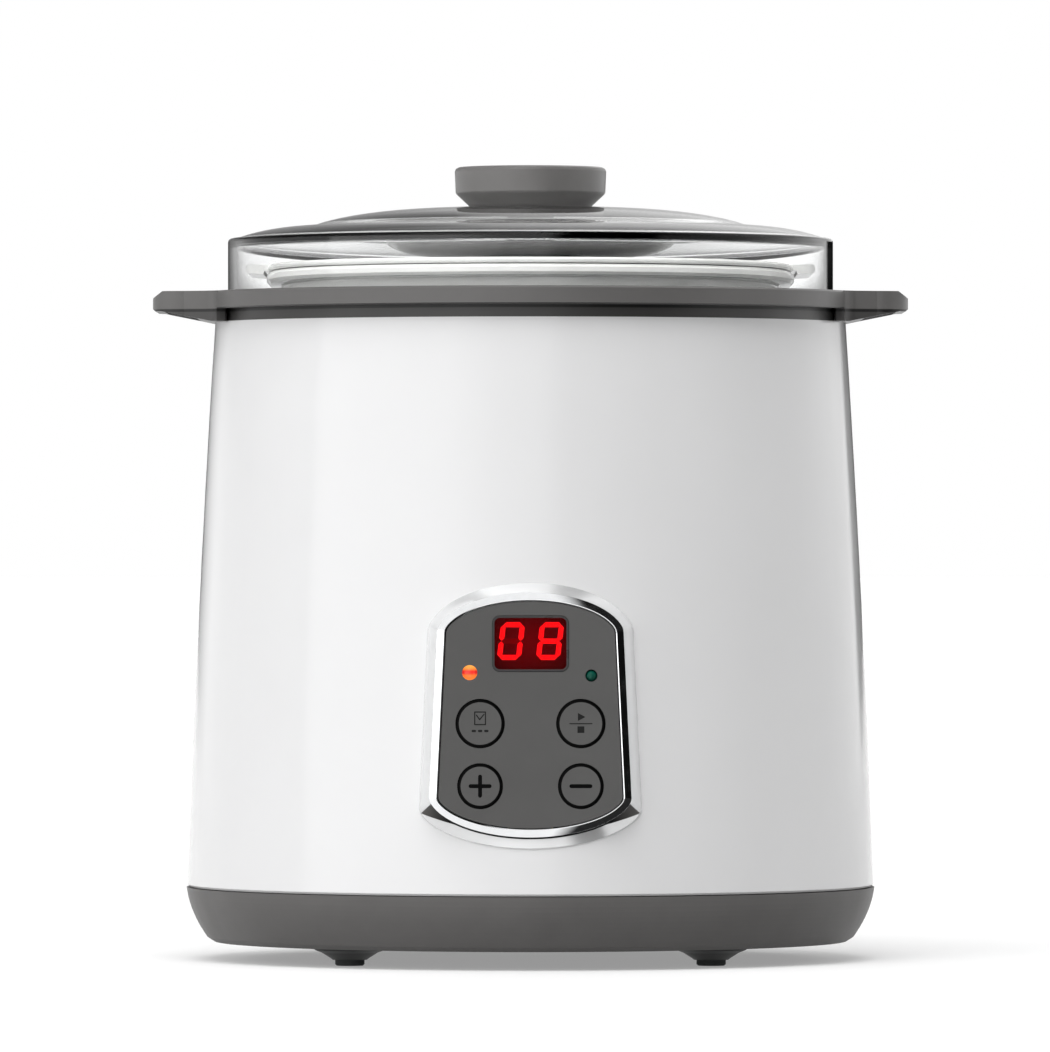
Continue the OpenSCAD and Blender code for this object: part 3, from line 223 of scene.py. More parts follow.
def capsule(p, q, w):
    """A straight stroke with round ends, from p to q."""
    p, q = Vector(p), Vector(q)
    d = (q - p).normalized()
    s = Vector((-d.y, d.x)) * w / 2
    ring = []
    for centre, a0 in ((q, -90), (p, 90)):
        for k in range(ARC_STEPS + 1):
            a = math.radians(a0 + 180 * k / ARC_STEPS)
            ring.append(tuple(centre + d * (w / 2) * math.cos(a) + s * math.sin(a)))
    return ring


def closed_tube(name, loops, body, materials, smooth_deg):
    """Rings of equal length, joined to each other and round to the first."""
    n, m = len(loops[0]), len(loops)
    verts = [v for loop in loops for v in loop]
    faces = []
    for j in range(m):
        for i in range(n):
            a, b = j * n + i, j * n + (i + 1) % n
            k = (j + 1) % m
            faces.append([a, b, k * n + (i + 1) % n, k * n + i])
    return add(name, verts, faces, body, smooth_deg, materials)


# ---- Materials -------------------------------------------------------------

def shader(name, color, rough=0.5, metallic=0.0, **sockets):
    """A Principled material with constant values on its own sockets."""
    mat = bpy.data.materials.new(name)
    mat.use_nodes = True
    bsdf = mat.node_tree.nodes["Principled BSDF"]
    bsdf.inputs["Base Color"].default_value = (*color, 1)
    bsdf.inputs["Roughness"].default_value = rough
    bsdf.inputs["Metallic"].default_value = metallic
    for key, value in sockets.items():
        socket = bsdf.inputs[key.replace("_", " ")]
        socket.default_value = (*value, 1) if isinstance(value, tuple) else value
    return mat


def tree(mat):
    """A material's node tree and its shader."""
    return mat.node_tree, mat.node_tree.nodes["Principled BSDF"]


def place(mat, scale=(1, 1, 1)):
    """Object coordinates, scaled: fixed to the piece and in metres."""
    nt, _ = tree(mat)
    coord = nt.nodes.new("ShaderNodeTexCoord")
    mapping = nt.nodes.new("ShaderNodeMapping")
    mapping.inputs["Scale"].default_value = scale
    nt.links.new(coord.outputs["Object"], mapping.inputs["Vector"])
    return mapping.outputs["Vector"]


def noise(mat, vector, scale, detail):
    """Noise from 0 to 1; scale is in features per metre."""
    nt, _ = tree(mat)
    node = nt.nodes.new("ShaderNodeTexNoise")
    node.inputs["Scale"].default_value = scale
    node.inputs["Detail"].default_value = detail
    node.inputs["Roughness"].default_value = 0.6
    nt.links.new(vector, node.inputs["Vector"])
    return node.outputs["Fac"]


def spread(mat, fac, low, high, to_low, to_high):
    """Fac from one range to another, held at both ends."""
    nt, _ = tree(mat)
    node = nt.nodes.new("ShaderNodeMapRange")
    keys = ("From Min", "From Max", "To Min", "To Max")
    for key, value in zip(keys, (low, high, to_low, to_high)):
        node.inputs[key].default_value = value
    nt.links.new(fac, node.inputs["Value"])
    return node.outputs["Result"]


def bump(mat, fac, depth):
    """Relief of depth millimetres from a 0..1 height."""
    nt, bsdf = tree(mat)
    node = nt.nodes.new("ShaderNodeBump")
    node.inputs["Strength"].default_value = 1.0
    node.inputs["Distance"].default_value = depth * MM
    nt.links.new(fac, node.inputs["Height"])
    if bsdf.inputs["Normal"].is_linked:
        nt.links.new(bsdf.inputs["Normal"].links[0].from_socket, node.inputs["Normal"])
    nt.links.new(node.outputs["Normal"], bsdf.inputs["Normal"])
    return mat


def vary(mat, fac, a, b):
    """Base colour between a and b by fac."""
    nt, bsdf = tree(mat)
    node = nt.nodes.new("ShaderNodeMix")
    node.data_type = "RGBA"
    node.inputs["A"].default_value = (*a, 1)
    node.inputs["B"].default_value = (*b, 1)
    nt.links.new(fac, node.inputs["Factor"])
    nt.links.new(node.outputs["Result"], bsdf.inputs["Base Color"])
    return mat


def shade(mat, fac, k):
    """Painted shade, darker where fac is 1: the base colour times k."""
    nt, bsdf = tree(mat)
    node = nt.nodes.new("ShaderNodeMix")
    node.data_type = "RGBA"
    node.blend_type = "MULTIPLY"
    node.inputs["B"].default_value = (k, k, k, 1)
    nt.links.new(fac, node.inputs["Factor"])
    nt.links.new(bsdf.inputs["Base Color"].links[0].from_socket, node.inputs["A"])
    nt.links.new(node.outputs["Result"], bsdf.inputs["Base Color"])
    return mat


def coordinate(mat, axis):
    """One of the object coordinates, in metres."""
    nt, _ = tree(mat)
    xyz = nt.nodes.new("ShaderNodeSeparateXYZ")
    nt.links.new(place(mat), xyz.inputs["Vector"])
    return xyz.outputs[axis]


def height(mat, low, high):
    """A ramp by height in the part's frame, in millimetres."""
    return spread(mat, coordinate(mat, "Z"), low * MM, high * MM, 0, 1)


def sideways(mat, start, end):
    """A ramp by distance to either side of the middle, in millimetres."""
    nt, _ = tree(mat)
    x = coordinate(mat, "X")
    size = nt.nodes.new("ShaderNodeMath")
    size.operation = "ABSOLUTE"
    nt.links.new(x, size.inputs[0])
    return spread(mat, size.outputs["Value"], start * MM, end * MM, 0, 1)


def between_heights(mat, low, high, soft=0.3):
    """1 between two heights, fading out over soft millimetres at each."""
    nt, _ = tree(mat)
    node = nt.nodes.new("ShaderNodeMath")
    node.operation = "MULTIPLY"
    nt.links.new(height(mat, low, low + soft), node.inputs[0])
    nt.links.new(height(mat, high, high - soft), node.inputs[1])
    return node.outputs["Value"]


def facing_down(mat):
    """1 on undersides, where shade is painted."""
    nt, _ = tree(mat)
    xyz = nt.nodes.new("ShaderNodeSeparateXYZ")
    nt.links.new(nt.nodes.new("ShaderNodeNewGeometry").outputs["Normal"], xyz.inputs["Vector"])
    return spread(mat, xyz.outputs["Z"], -0.3, -0.8, 0, 1)


def near(mat, centre, radii, at_centre, at_edge):
    """A ramp from the middle of an ellipsoid, in millimetres, out to its surface."""
    nt, _ = tree(mat)
    coord = nt.nodes.new("ShaderNodeTexCoord")
    mapping = nt.nodes.new("ShaderNodeMapping")
    mapping.vector_type = "TEXTURE"
    mapping.inputs["Location"].default_value = [v * MM for v in centre]
    mapping.inputs["Scale"].default_value = [v * MM for v in radii]
    nt.links.new(coord.outputs["Object"], mapping.inputs["Vector"])
    length = nt.nodes.new("ShaderNodeVectorMath")
    length.operation = "LENGTH"
    nt.links.new(mapping.outputs["Vector"], length.inputs[0])
    return spread(mat, length.outputs["Value"], 0, 1, at_centre, at_edge)


def rough_from(mat, fac, low, high):
    """Roughness from low to high over the middle of a noise."""
    nt, bsdf = tree(mat)
    nt.links.new(spread(mat, fac, 0.35, 0.65, low, high), bsdf.inputs["Roughness"])
    return mat


def tint(color, k):
    """A colour made lighter or darker by k."""
    return tuple(min(1.0, c * k) for c in color)


def mottle(mat, fac, color, low, high):
    """The colour with soft patches between low and high times its strength."""
    vary(mat, spread(mat, fac, 0.3, 0.7, 0, 1), tint(color, low), tint(color, high))


def moulded(name, color, rough, grain=0.012, grain_scale=2600, **sockets):
    """Moulded plastic: spark-eroded grain, faint flow mottling, uneven sheen."""
    mat = shader(name, color, rough, **sockets)
    v = place(mat)
    mottle(mat, noise(mat, v, 60, 4), color, 0.96, 1.04)
    rough_from(mat, noise(mat, v, 35, 5), rough - 0.05, rough + 0.05)
    if grain:
        bump(mat, noise(mat, v, grain_scale, 2), grain)
    return mat


def glossy_plastic(name, color, rough, wave, **sockets):
    """Polished plastic: a faint long ripple and a hint of uneven sheen."""
    mat = shader(name, color, rough, **sockets)
    v = place(mat)
    mottle(mat, noise(mat, v, 14, 3), color, 0.985, 1.01)
    rough_from(mat, noise(mat, v, 40, 4), rough - 0.03, rough + 0.03)
    bump(mat, noise(mat, v, 22, 2), wave)
    return mat


def metal(name, color, rough, stretch=(1, 1, 1), line=0.004, scale=900):
    """Metal with drawn or spun lines along the unstretched direction."""
    mat = shader(name, color, rough, 1.0)
    v = place(mat, stretch)
    lines = noise(mat, v, scale, 2)
    bump(mat, lines, line)
    rough_from(mat, lines, rough - 0.07, rough + 0.08)
    mottle(mat, noise(mat, place(mat), 80, 4), color, 0.93, 1.05)
    return mat


def clear(name, color, rough=0.0, ior=1.49):
    """Clear moulded plastic with a barely uneven polish; it lets the lamps through."""
    mat = shader(name, color, rough, Transmission_Weight=1.0, IOR=ior)
    v = place(mat)
    bump(mat, noise(mat, v, 30, 2), 0.012)
    rough_from(mat, noise(mat, v, 50, 3), rough, rough + 0.02)
    nt, bsdf = tree(mat)
    ray = nt.nodes.new("ShaderNodeLightPath")
    through = nt.nodes.new("ShaderNodeBsdfTransparent")
    through.inputs["Color"].default_value = (0.9, 0.9, 0.9, 1)
    both = nt.nodes.new("ShaderNodeMixShader")
    nt.links.new(ray.outputs["Is Shadow Ray"], both.inputs["Fac"])
    nt.links.new(bsdf.outputs["BSDF"], both.inputs[1])
    nt.links.new(through.outputs["BSDF"], both.inputs[2])
    nt.links.new(both.outputs["Shader"], nt.nodes["Material Output"].inputs["Surface"])
    return mat


def red_window():
    """Red filter with a painted glow, strongest round the lit digits, standing for their light
    spread in it.
    """
    mat = shader(
        "window_red", (0.8, 0.07, 0.08), 0.06,
        Transmission_Weight=1.0, IOR=1.12, Emission_Color=(1.0, 0.0, 0.01),
    )
    nt, bsdf = tree(mat)
    centre = on_panel(0, WINDOW_Y + DIGIT_LIFT, MODULE_FRONT)
    nt.links.new(near(mat, centre, (15, 30, 12), 0.055, 0.012), bsdf.inputs["Emission Strength"])
    return mat


def lit_lamp():
    """A lit red lamp: amber at its top and bottom, a deep red band between."""
    mat = shader("lamp_red", (0.6, 0.03, 0.01), 0.25, Emission_Strength=1.0)
    nt, bsdf = tree(mat)
    ramp = nt.nodes.new("ShaderNodeValToRGB")
    elements = ramp.color_ramp.elements
    for k, (place_at, color) in enumerate(LAMP_GLOW):
        stop = elements[k] if k < 2 else elements.new(place_at)
        stop.position = place_at
        stop.color = (*color, 1)
    nt.links.new(height(mat, LAMP_Z - LAMP_R, LAMP_Z + LAMP_R), ramp.inputs["Fac"])
    nt.links.new(ramp.outputs["Color"], bsdf.inputs["Emission Color"])
    return mat


GREY = (0.150, 0.146, 0.143)
FACE = (0.093, 0.092, 0.090)
WHITE = (0.88, 0.88, 0.885)
# black of the printed marks, also painted shade on the buttons' edges
INK_AND_GAP_SHADE = (0.002, 0.002, 0.002)

shell_white = glossy_plastic("shell_white", WHITE, 0.10, 0.02)
base_grey = moulded("base_grey", tint(GREY, 1.05), 0.45, Specular_IOR_Level=0.15)
rim_grey = moulded("rim_grey", tint(GREY, 0.92), 0.38)
# Painted shade: the neck under the ring's band is darker, a painted shadow line runs just under the
# band, and painted shade darkens the undersides.
shade(rim_grey, height(rim_grey, NECK_Z, NECK_Z - 0.3), 0.45)
shade(rim_grey, between_heights(rim_grey, NECK_Z - 1.3, NECK_Z), 0.15)
shade(rim_grey, facing_down(rim_grey), 0.08)
knob_grey = moulded("knob_grey", tint(GREY, 1.12), 0.36)
face_grey = moulded("face_grey", FACE, 0.45, 0.006, 4200)
button_grey = moulded("button_grey", FACE, 0.42, 0.006, 4200)
# Black for printed marks, and painted shade on each button's edge standing for the dark gap round
# the key.
ink_and_gap_shade = moulded("ink_and_gap_shade", INK_AND_GAP_SHADE, 0.5, 0.004, 4200, Specular_IOR_Level=0.06)
mark_ink = moulded("mark_ink", (0.014, 0.014, 0.014), 0.5, 0.004, 4200, Specular_IOR_Level=0.15)
frame_chrome = metal("frame_chrome", (0.88, 0.89, 0.90), 0.06, (1, 1, 1), 0.0003, 120)
frame_satin = glossy_plastic("frame_satin", (0.90, 0.905, 0.91), 0.2, 0.0, Metallic=0.5)
# Painted reflection: black where the frame's lower fold would mirror dark surroundings, lighter
# towards the lower corners.
frame_painted_reflection = moulded("frame_painted_reflection", (0.0025, 0.0025, 0.0027), 0.4, 0.0, Specular_IOR_Level=0.04)
vary(frame_painted_reflection, sideways(frame_painted_reflection, 27.5, 36.5), (0.002, 0.002, 0.002), (0.16, 0.155, 0.15))
lid_clear = clear("lid_clear", (0.97, 0.975, 0.975))
bowl_smoke = shader("bowl_smoke", (0.35, 0.35, 0.35), 0.25, Transmission_Weight=0.6, IOR=1.45)
pot_glaze = glossy_plastic("pot_glaze", (0.86, 0.86, 0.84), 0.12, 0.05)
lid_glaze = glossy_plastic("lid_glaze", (0.86, 0.86, 0.84), 0.12, 0.05)
washer_dark = moulded("washer_dark", (0.05, 0.05, 0.05), 0.5)
foot_plastic = moulded("foot_plastic", (0.045, 0.048, 0.047), 0.4)
pad_rubber = moulded("pad_rubber", (0.05, 0.055, 0.054), 0.8, 0.03, 1500)
window_red = red_window()
window_rim = moulded("window_rim", (0.035, 0.035, 0.036), 0.3, 0.0)
module_black = moulded("module_black", (0.012, 0.012, 0.012), 0.5)
digit_lit = shader(
    "digit_lit", (0.6, 0.01, 0.02), 0.4, Emission_Color=(1.0, 0.055, 0.075), Emission_Strength=1.25
)
digit_unlit = shader("digit_unlit", (0.10, 0.004, 0.006), 0.4)
lamp_red = lit_lamp()
lamp_green = glossy_plastic("lamp_green", (0.0, 0.075, 0.05), 0.4, 0.0, Specular_IOR_Level=0.3)
silicone = moulded("silicone", (0.75, 0.75, 0.72), 0.6)
tank_metal = metal("tank_metal", (0.62, 0.63, 0.64), 0.28, (1, 1, 30), 0.004)
shield_metal = metal("shield_metal", (0.66, 0.67, 0.67), 0.3, (1, 1, 20), 0.004)
heater_metal = metal("heater_metal", (0.66, 0.67, 0.68), 0.45, (1, 1, 1), 0.03, 500)
element_metal = metal("element_metal", (0.20, 0.19, 0.18), 0.45, (1, 1, 1), 0.01)
bracket_metal = metal("bracket_metal", (0.58, 0.59, 0.61), 0.32, (1, 12, 1), 0.003)
screw_steel = metal("screw_steel", (0.60, 0.60, 0.62), 0.3, (1, 1, 1), 0.003)
thermostat_plastic = moulded("thermostat_plastic", (0.08, 0.06, 0.05), 0.4)
fuse_body = metal("fuse_body", (0.70, 0.58, 0.35), 0.35)
circuit_board = glossy_plastic("circuit_board", (0.02, 0.10, 0.03), 0.3, 0.0)
transformer_core = metal("transformer_core", (0.20, 0.17, 0.08), 0.5, (1, 1, 40), 0.02)
relay_blue = glossy_plastic("relay_blue", (0.02, 0.06, 0.25), 0.3, 0.0)
capacitor_sleeve = glossy_plastic("capacitor_sleeve", (0.03, 0.04, 0.12), 0.3, 0.0)
terminal_plastic = moulded("terminal_plastic", (0.70, 0.70, 0.64), 0.5)
inlet_black = moulded("inlet_black", (0.012, 0.012, 0.012), 0.4)
pin_brass = metal("pin_brass", (0.75, 0.60, 0.32), 0.28, (1, 20, 1), 0.003)
lead_brown = glossy_plastic("lead_brown", (0.16, 0.05, 0.02), 0.35, 0.0)
lead_white = moulded("lead_white", (0.72, 0.70, 0.62), 0.7, 0.05, 3000)
ribbon_grey = glossy_plastic("ribbon_grey", (0.50, 0.50, 0.50), 0.4, 0.0)

NODE_MATERIALS = {
    "base_housing": base_grey, "foot_front_left": foot_plastic, "foot_front_right": foot_plastic,
    "foot_rear_left": foot_plastic, "foot_rear_right": foot_plastic, "foot_pads": pad_rubber,
    "outer_shell": shell_white, "top_ring": rim_grey, "tank_gasket": silicone,
    "water_tank": tank_metal, "heat_shield": shield_metal, "heater_plate": heater_metal,
    "heating_element": element_metal, "heater_bracket": bracket_metal,
    "thermostat": thermostat_plastic, "thermal_fuse": fuse_body,
    "temperature_probe": bracket_metal, "probe_spring": bracket_metal,
    "power_board": circuit_board, "transformer": transformer_core, "relay": relay_blue,
    "capacitors": capacitor_sleeve, "terminal_block": terminal_plastic,
    "board_screws": screw_steel, "base_screws": screw_steel, "power_inlet": inlet_black,
    "inlet_pins": pin_brass, "mains_leads": lead_brown, "heater_leads": lead_white,
    "ribbon_cable": ribbon_grey, "panel_bezel": frame_chrome, "panel_face": face_grey,
    "display_window": window_red, "display_module": module_black,
    "display_segments": digit_lit, "red_lamp": lamp_red, "green_lamp": lamp_green,
    "control_board": circuit_board, "control_chip": module_black,
    "tact_switches": module_black, "panel_screws": screw_steel,
    "function_button": button_grey, "start_button": button_grey,
    "plus_button": button_grey, "minus_button": button_grey,
    "ceramic_pot": pot_glaze, "ceramic_lid": lid_glaze, "clear_lid": lid_clear,
    "drip_bowl": bowl_smoke, "knob_washer": washer_dark, "knob_screw": screw_steel,
    "lid_knob": knob_grey,
}
for node, mat in NODE_MATERIALS.items():
    nodes[node].data.materials.clear()
    nodes[node].data.materials.append(mat)


# ---- Clear lid -------------------------------------------------------------

def lid_height(r):
    """Height of the clear lid's outer surface: a shoulder, a crease and a dome."""
    if r > CREASE_R:
        u = (r - CREASE_R) / (SHOULDER_R - CREASE_R)
        return SHOULDER_Z + SHOULDER_RISE * max(0.0, 1 - u * u) ** CROWN
    return CREASE_Z + DOME_RISE * (1 - (r / CREASE_R) ** DOME_FLATNESS) ** CROWN


def make_clear_lid():
    """Skirt, rounded shoulder and dome as one turned wall with a hole for the screw."""
    radii = [mix(SHOULDER_R, CREASE_R, i / SHOULDER_STEPS) for i in range(SHOULDER_STEPS + 1)]
    for i in range(1, DOME_STEPS + 1):
        radii.append(mix(CREASE_R, LID_HOLE_R, math.sin(math.pi / 2 * i / DOME_STEPS)))
    top = [(r, lid_height(r)) for r in radii]
    inner = [(r, z - DOME_T) for r, z in reversed(top) if r < LID_R - LID_WALL - 1.5]
    wall_in = LID_R - LID_WALL
    skirt = rounded(
        [(wall_in, LID_Z), (LID_R, LID_Z), (LID_R, SKIRT_TOP), (SHOULDER_R, SHOULDER_Z)],
        [LID_RIM_ROUND, LID_RIM_ROUND, LID_CORNER_ROUND, 0], 10,
    )[:-1]
    corner = rounded(
        [inner[-1], (wall_in, SKIRT_TOP - DOME_T), (wall_in, LID_Z)], [0, LID_INNER_ROUND, 0], 8
    )[1:-1]
    lid = lathe("clear_lid_shell", skirt + top + inner + corner, "outer_lid", 256, 40, [lid_clear])
    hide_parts("clear_lid")


# ---- Panel frame -----------------------------------------------------------

MID_HALF_W = (FACE_TOP_W + FACE_BOTTOM_W) / 4
SIDE_SLOPE = (FACE_BOTTOM_W - FACE_TOP_W) / 2 / FACE_SIDE_H
APEX_Y = FACE_SIDE_H / 2 + FACE_BOW
BOW_STEPS = 40
CORNER_STEPS = 6
SIDE_STEPS = 12
WEDGE_FROM = 0.62         # the wedge, painted with a dark reflection, widens over the outer third of the lower bow
CHIN_DROP = 2.6           # how much lower the skirt's lower corners reach than its bow
FOOT_DROP = 0.45          # and how much lower its bow reaches than the outline
FRAME_IN = 0.3            # the frame's rings, by their distance out from the face's outline:
FRAME_CREST = 0.72        # inner edge, crest, end of the bright bevel, foot on the shell, back
FRAME_OUT = 3.0
FRAME_FOOT = 6.3
FRAME_TUCK = 1.7
FRAME_BACK = -12          # how deep the frame reaches behind the panel's front
FRAME_GAP = 0.1           # the foot's clearance over the shell
CREASE_LOW = -1.35        # height of the skirt's crease where it would lie at the bevel's end
CREASE_HOLLOW = 0.35      # how much deeper it is in the middle of the lower bow
DARK_ROW = 6              # the first row of faces outside the bevel; on the lower bow it carries the painted dark reflection
OUTLINES = {}

BOW_RISE = FACE_BOW / (1 - math.sqrt(1 - 1 / BOW_REACH ** 2))


def bow_width(side):
    """Half the width of the ellipse at the top (1) or bottom (-1)."""
    return BOW_REACH * (FACE_TOP_W if side > 0 else FACE_BOTTOM_W) / 2


def corner_y(d, side):
    """Where the side line meets the bowed end's ellipse, both moved out by d."""
    a2, b2 = (bow_width(side) + d) ** 2, (BOW_RISE + d) ** 2
    c = side * (APEX_Y - BOW_RISE)
    x = MID_HALF_W + d * math.sqrt(1 + SIDE_SLOPE ** 2)
    q = a2 + b2 * SIDE_SLOPE ** 2
    m = b2 * x * SIDE_SLOPE + a2 * c
    return (m + side * math.sqrt(m * m - q * (b2 * x * x + a2 * c * c - a2 * b2))) / q


def side_x(d, y):
    """The right side line, moved out by d, at height y."""
    return MID_HALF_W + d * math.sqrt(1 + SIDE_SLOPE ** 2) - SIDE_SLOPE * y


def bow(d, side):
    """The bowed end from its corner to its middle."""
    a, b, c = bow_width(side) + d, BOW_RISE + d, side * (APEX_Y - BOW_RISE)
    y = corner_y(d, side)
    t = math.atan2(side_x(d, y) / a, side * (y - c) / b)
    t -= CORNER_CUT / math.hypot(a * math.cos(t), b * math.sin(t))
    return [
        (a * math.sin(t * (1 - i / BOW_STEPS)), c + side * b * math.cos(t * (1 - i / BOW_STEPS)))
        for i in range(BOW_STEPS + 1)
    ]


def curve3(p, c, q, n):
    """A quadratic curve from p to q, pulled towards c."""
    return [
        tuple(p[k] * (1 - t) ** 2 + c[k] * 2 * t * (1 - t) + q[k] * t * t for k in (0, 1))
        for t in (i / n for i in range(n + 1))
    ]


def outline(d):
    """The face's outline moved out by d: bottom middle, right side, top, left side."""
    top, bottom = bow(d, 1), bow(d, -1)
    ty, by = corner_y(d, 1), corner_y(d, -1)
    high = (side_x(d, ty - CORNER_CUT), ty - CORNER_CUT)
    low = (side_x(d, by + CORNER_CUT), by + CORNER_CUT)
    right = bottom[::-1]
    right += curve3(bottom[0], (side_x(d, by), by), low, CORNER_STEPS)[1:]
    right += [
        (mix(low[0], high[0], i / SIDE_STEPS), mix(low[1], high[1], i / SIDE_STEPS))
        for i in range(1, SIDE_STEPS)
    ]
    right += curve3(high, (side_x(d, ty), ty), top[0], CORNER_STEPS)
    right += top[1:]
    return right + [(-x, y) for x, y in right[-2:0:-1]]


def shell_r(z):
    """The shell's outer radius at a height."""
    t = (z - SHELL_Z) / SHELL_H
    return mix(SHELL_FOOT_R, SHELL_TOP_R, t) + SHELL_BULGE * 4 * t * (1 - t)


def wall_z(x, y):
    """Height of the shell's surface above the panel's front plane."""
    lean = math.radians(PANEL_LEAN)
    z = 0.0
    for _ in range(5):
        r = shell_r(PANEL_Z + y * math.cos(lean) + z * math.sin(lean))
        depth = -math.sqrt(r * r - x * x)
        z = (PANEL_Y + y * math.sin(lean) - depth) / math.cos(lean)
    return z


def outline_at(d):
    """The outline moved out by d, made once for each d."""
    key = round(d, 4)
    if key not in OUTLINES:
        OUTLINES[key] = outline(key)
    return OUTLINES[key]


def make_panel_frame():
    """Inner bevel, outer skirt, and below a wedge with a painted dark reflection that leaves a pale
    chin.
    """
    inner, outer, foot = FRAME_IN, FRAME_OUT, FRAME_FOOT
    count = len(outline(0))

    def lower(i):
        """Nearness to a lower corner: 0 at the bottom's middle, 1 at the corner, None elsewhere."""
        k = min(i, count - i)
        return min(1.0, k / BOW_STEPS) if k <= BOW_STEPS + CORNER_STEPS else None

    def wedge(i):
        """0 along the bottom, rising to 1 at a lower corner."""
        return max(0.0, (lower(i) - WEDGE_FROM) / (1 - WEDGE_FROM))

    def crease(i):
        """How far out the skirt's crease lies."""
        if lower(i) is None:
            return mix(outer, foot, 0.5)
        return outer + 0.6 + (foot - outer - 0.7) * wedge(i)

    def foot_drop(i):
        """How far the skirt's foot is drawn down."""
        u = lower(i)
        return 0.0 if u is None else FOOT_DROP + (CHIN_DROP - FOOT_DROP) * u * u

    def crease_drop(i):
        """How far the crease is drawn down."""
        return 0.0 if lower(i) is None else (CHIN_DROP - 0.05) * wedge(i) ** 2

    def ring_at(offset, rise, on_wall=False, drop=lambda i: 0.0):
        """One ring, its offset a number or a function of the place along the outline.

        With on_wall, rise is counted from the shell's surface instead of the panel's front.
        """
        points = []
        for i in range(count):
            d = offset(i) if callable(offset) else offset
            x, y = outline_at(d)[i]
            x += math.copysign(SIDE_SLOPE * drop(i) * (lower(i) or 0.0), x)
            y -= drop(i)
            z = wall_z(x, y) + rise if on_wall else rise
            points.append((x, y, z))
        return points

    # the bevel's section: distance out, height above the panel's front
    bevel = [
        (inner, -3.9), (inner, -0.4), (inner + 0.12, -0.14), (FRAME_CREST, 0),
        (outer - 0.12, -0.70), (outer - 0.03, -0.74), (outer, -0.82),
    ]
    rings = [ring_at(offset, rise) for offset, rise in bevel]
    fall = []
    for i, (x, y, z) in enumerate(ring_at(crease, 0, drop=crease_drop)):
        low = wall_z(x, y) + 0.5
        share = (crease(i) - outer) / (foot - outer)
        u = lower(i)
        depth = mix(CREASE_LOW, low, share)
        fall.append((x, y, depth - (0 if u is None else CREASE_HOLLOW * (1 - u ** 2))))
    rings += [
        fall,
        ring_at(foot - 0.05, 0.45, True, foot_drop), ring_at(foot, FRAME_GAP, True, foot_drop),
        ring_at(FRAME_TUCK, FRAME_GAP, True),
        ring_at(FRAME_TUCK, FRAME_BACK), ring_at(inner, FRAME_BACK),
    ]
    loops = [[on_panel(*p) for p in r] for r in rings]
    frame_materials = [frame_chrome, frame_painted_reflection, frame_satin]
    frame_piece = closed_tube("panel_frame", loops, "housing", frame_materials, 24)
    # The lower bow's first row outside the bevel takes the painted dark reflection; the skirt's
    # rows are satin.
    for f in frame_piece.data.polygons:
        row, i = divmod(f.index, count)
        if row == DARK_ROW and min(i, count - 1 - i) < BOW_STEPS:
            f.material_index = 1
        elif DARK_ROW <= row <= DARK_ROW + 2:
            f.material_index = 2
    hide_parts("panel_bezel")


# ---- Display ---------------------------------------------------------------

def stroke(x0, y0, x1, y1):
    """A seven-segment stroke between two corner points, mitred to leave thin gaps."""
    c, g = DIGIT_STROKE / 2, DIGIT_GAP / 2 * math.sqrt(2)
    length = math.hypot(x1 - x0, y1 - y0)
    ring = [
        (g, 0), (g + c, -c), (length - g - c, -c), (length - g, 0), (length - g - c, c), (g + c, c),
    ]
    ux, uy = (x1 - x0) / length, (y1 - y0) / length
    return [(x0 + px * ux - py * uy, y0 + px * uy + py * ux) for px, py in ring]


def digit_strokes(cx, cy, lit):
    """The lit strokes of a digit, sheared to its slant."""
    h = (DIGIT_H - DIGIT_STROKE) / 2
    w = (DIGIT_W - DIGIT_STROKE) / 2
    lean = math.tan(math.radians(DIGIT_SLANT))
    spec = {
        "a": (-w, h, w, h), "g": (-w, 0, w, 0), "d": (-w, -h, w, -h),
        "b": (w, 0, w, h), "c": (w, -h, w, 0), "f": (-w, 0, -w, h), "e": (-w, -h, -w, 0),
    }
    return [
        [(cx + x + y * lean, cy + y) for x, y in stroke(*ends)]
        for key, ends in spec.items() if key in lit
    ]


def make_display():
    """The lit strokes of "08" and the one unlit stroke."""
    left, right = -DIGIT_PITCH / 2, DIGIT_PITCH / 2
    y = WINDOW_Y + DIGIT_LIFT
    lit = digit_strokes(left, y, "abcdef") + digit_strokes(right, y, "abcdefg")
    unlit = digit_strokes(left, y, "g")
    z0, z1 = MODULE_FRONT - 0.6, MODULE_FRONT + 0.1
    on = slab("lit_segments", lit, z0, z1, "housing", digit_lit)
    off = slab("unlit_segment", unlit, z0, z1, "housing", digit_unlit)
    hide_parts("display_segments")


def rounded_rect(w, h, r):
    """A rectangle about the origin with round corners."""
    ring = []
    for cx, cy, a0 in ((1, -1, -90), (1, 1, 0), (-1, 1, 90), (-1, -1, 180)):
        for k in range(ARC_STEPS + 1):
            a = math.radians(a0 + 90 * k / ARC_STEPS)
            ring.append((cx * (w / 2 - r) + r * math.cos(a), cy * (h / 2 - r) + r * math.sin(a)))
    return ring


def make_window_frame():
    """Dark printed rim round the display window."""
    w, h = WINDOW
    # the rim's section: how much wider than the window, height, corner radius
    section = [
        (0.1, -0.62, 2.5), (0.1, -0.36, 2.5), (-0.15, -0.25, 2.4),
        (-1.1, -0.25, 1.9), (-1.35, -0.4, 1.8), (-1.35, -0.62, 1.8),
    ]
    loops = []
    for grow, z, r in section:
        loops.append([on_panel(x, y + WINDOW_Y, z) for x, y in rounded_rect(w + grow, h + grow, r)])
    rim = closed_tube("window_rim", loops, "housing", [window_rim], 30)


# ---- Buttons ---------------------------------------------------------------

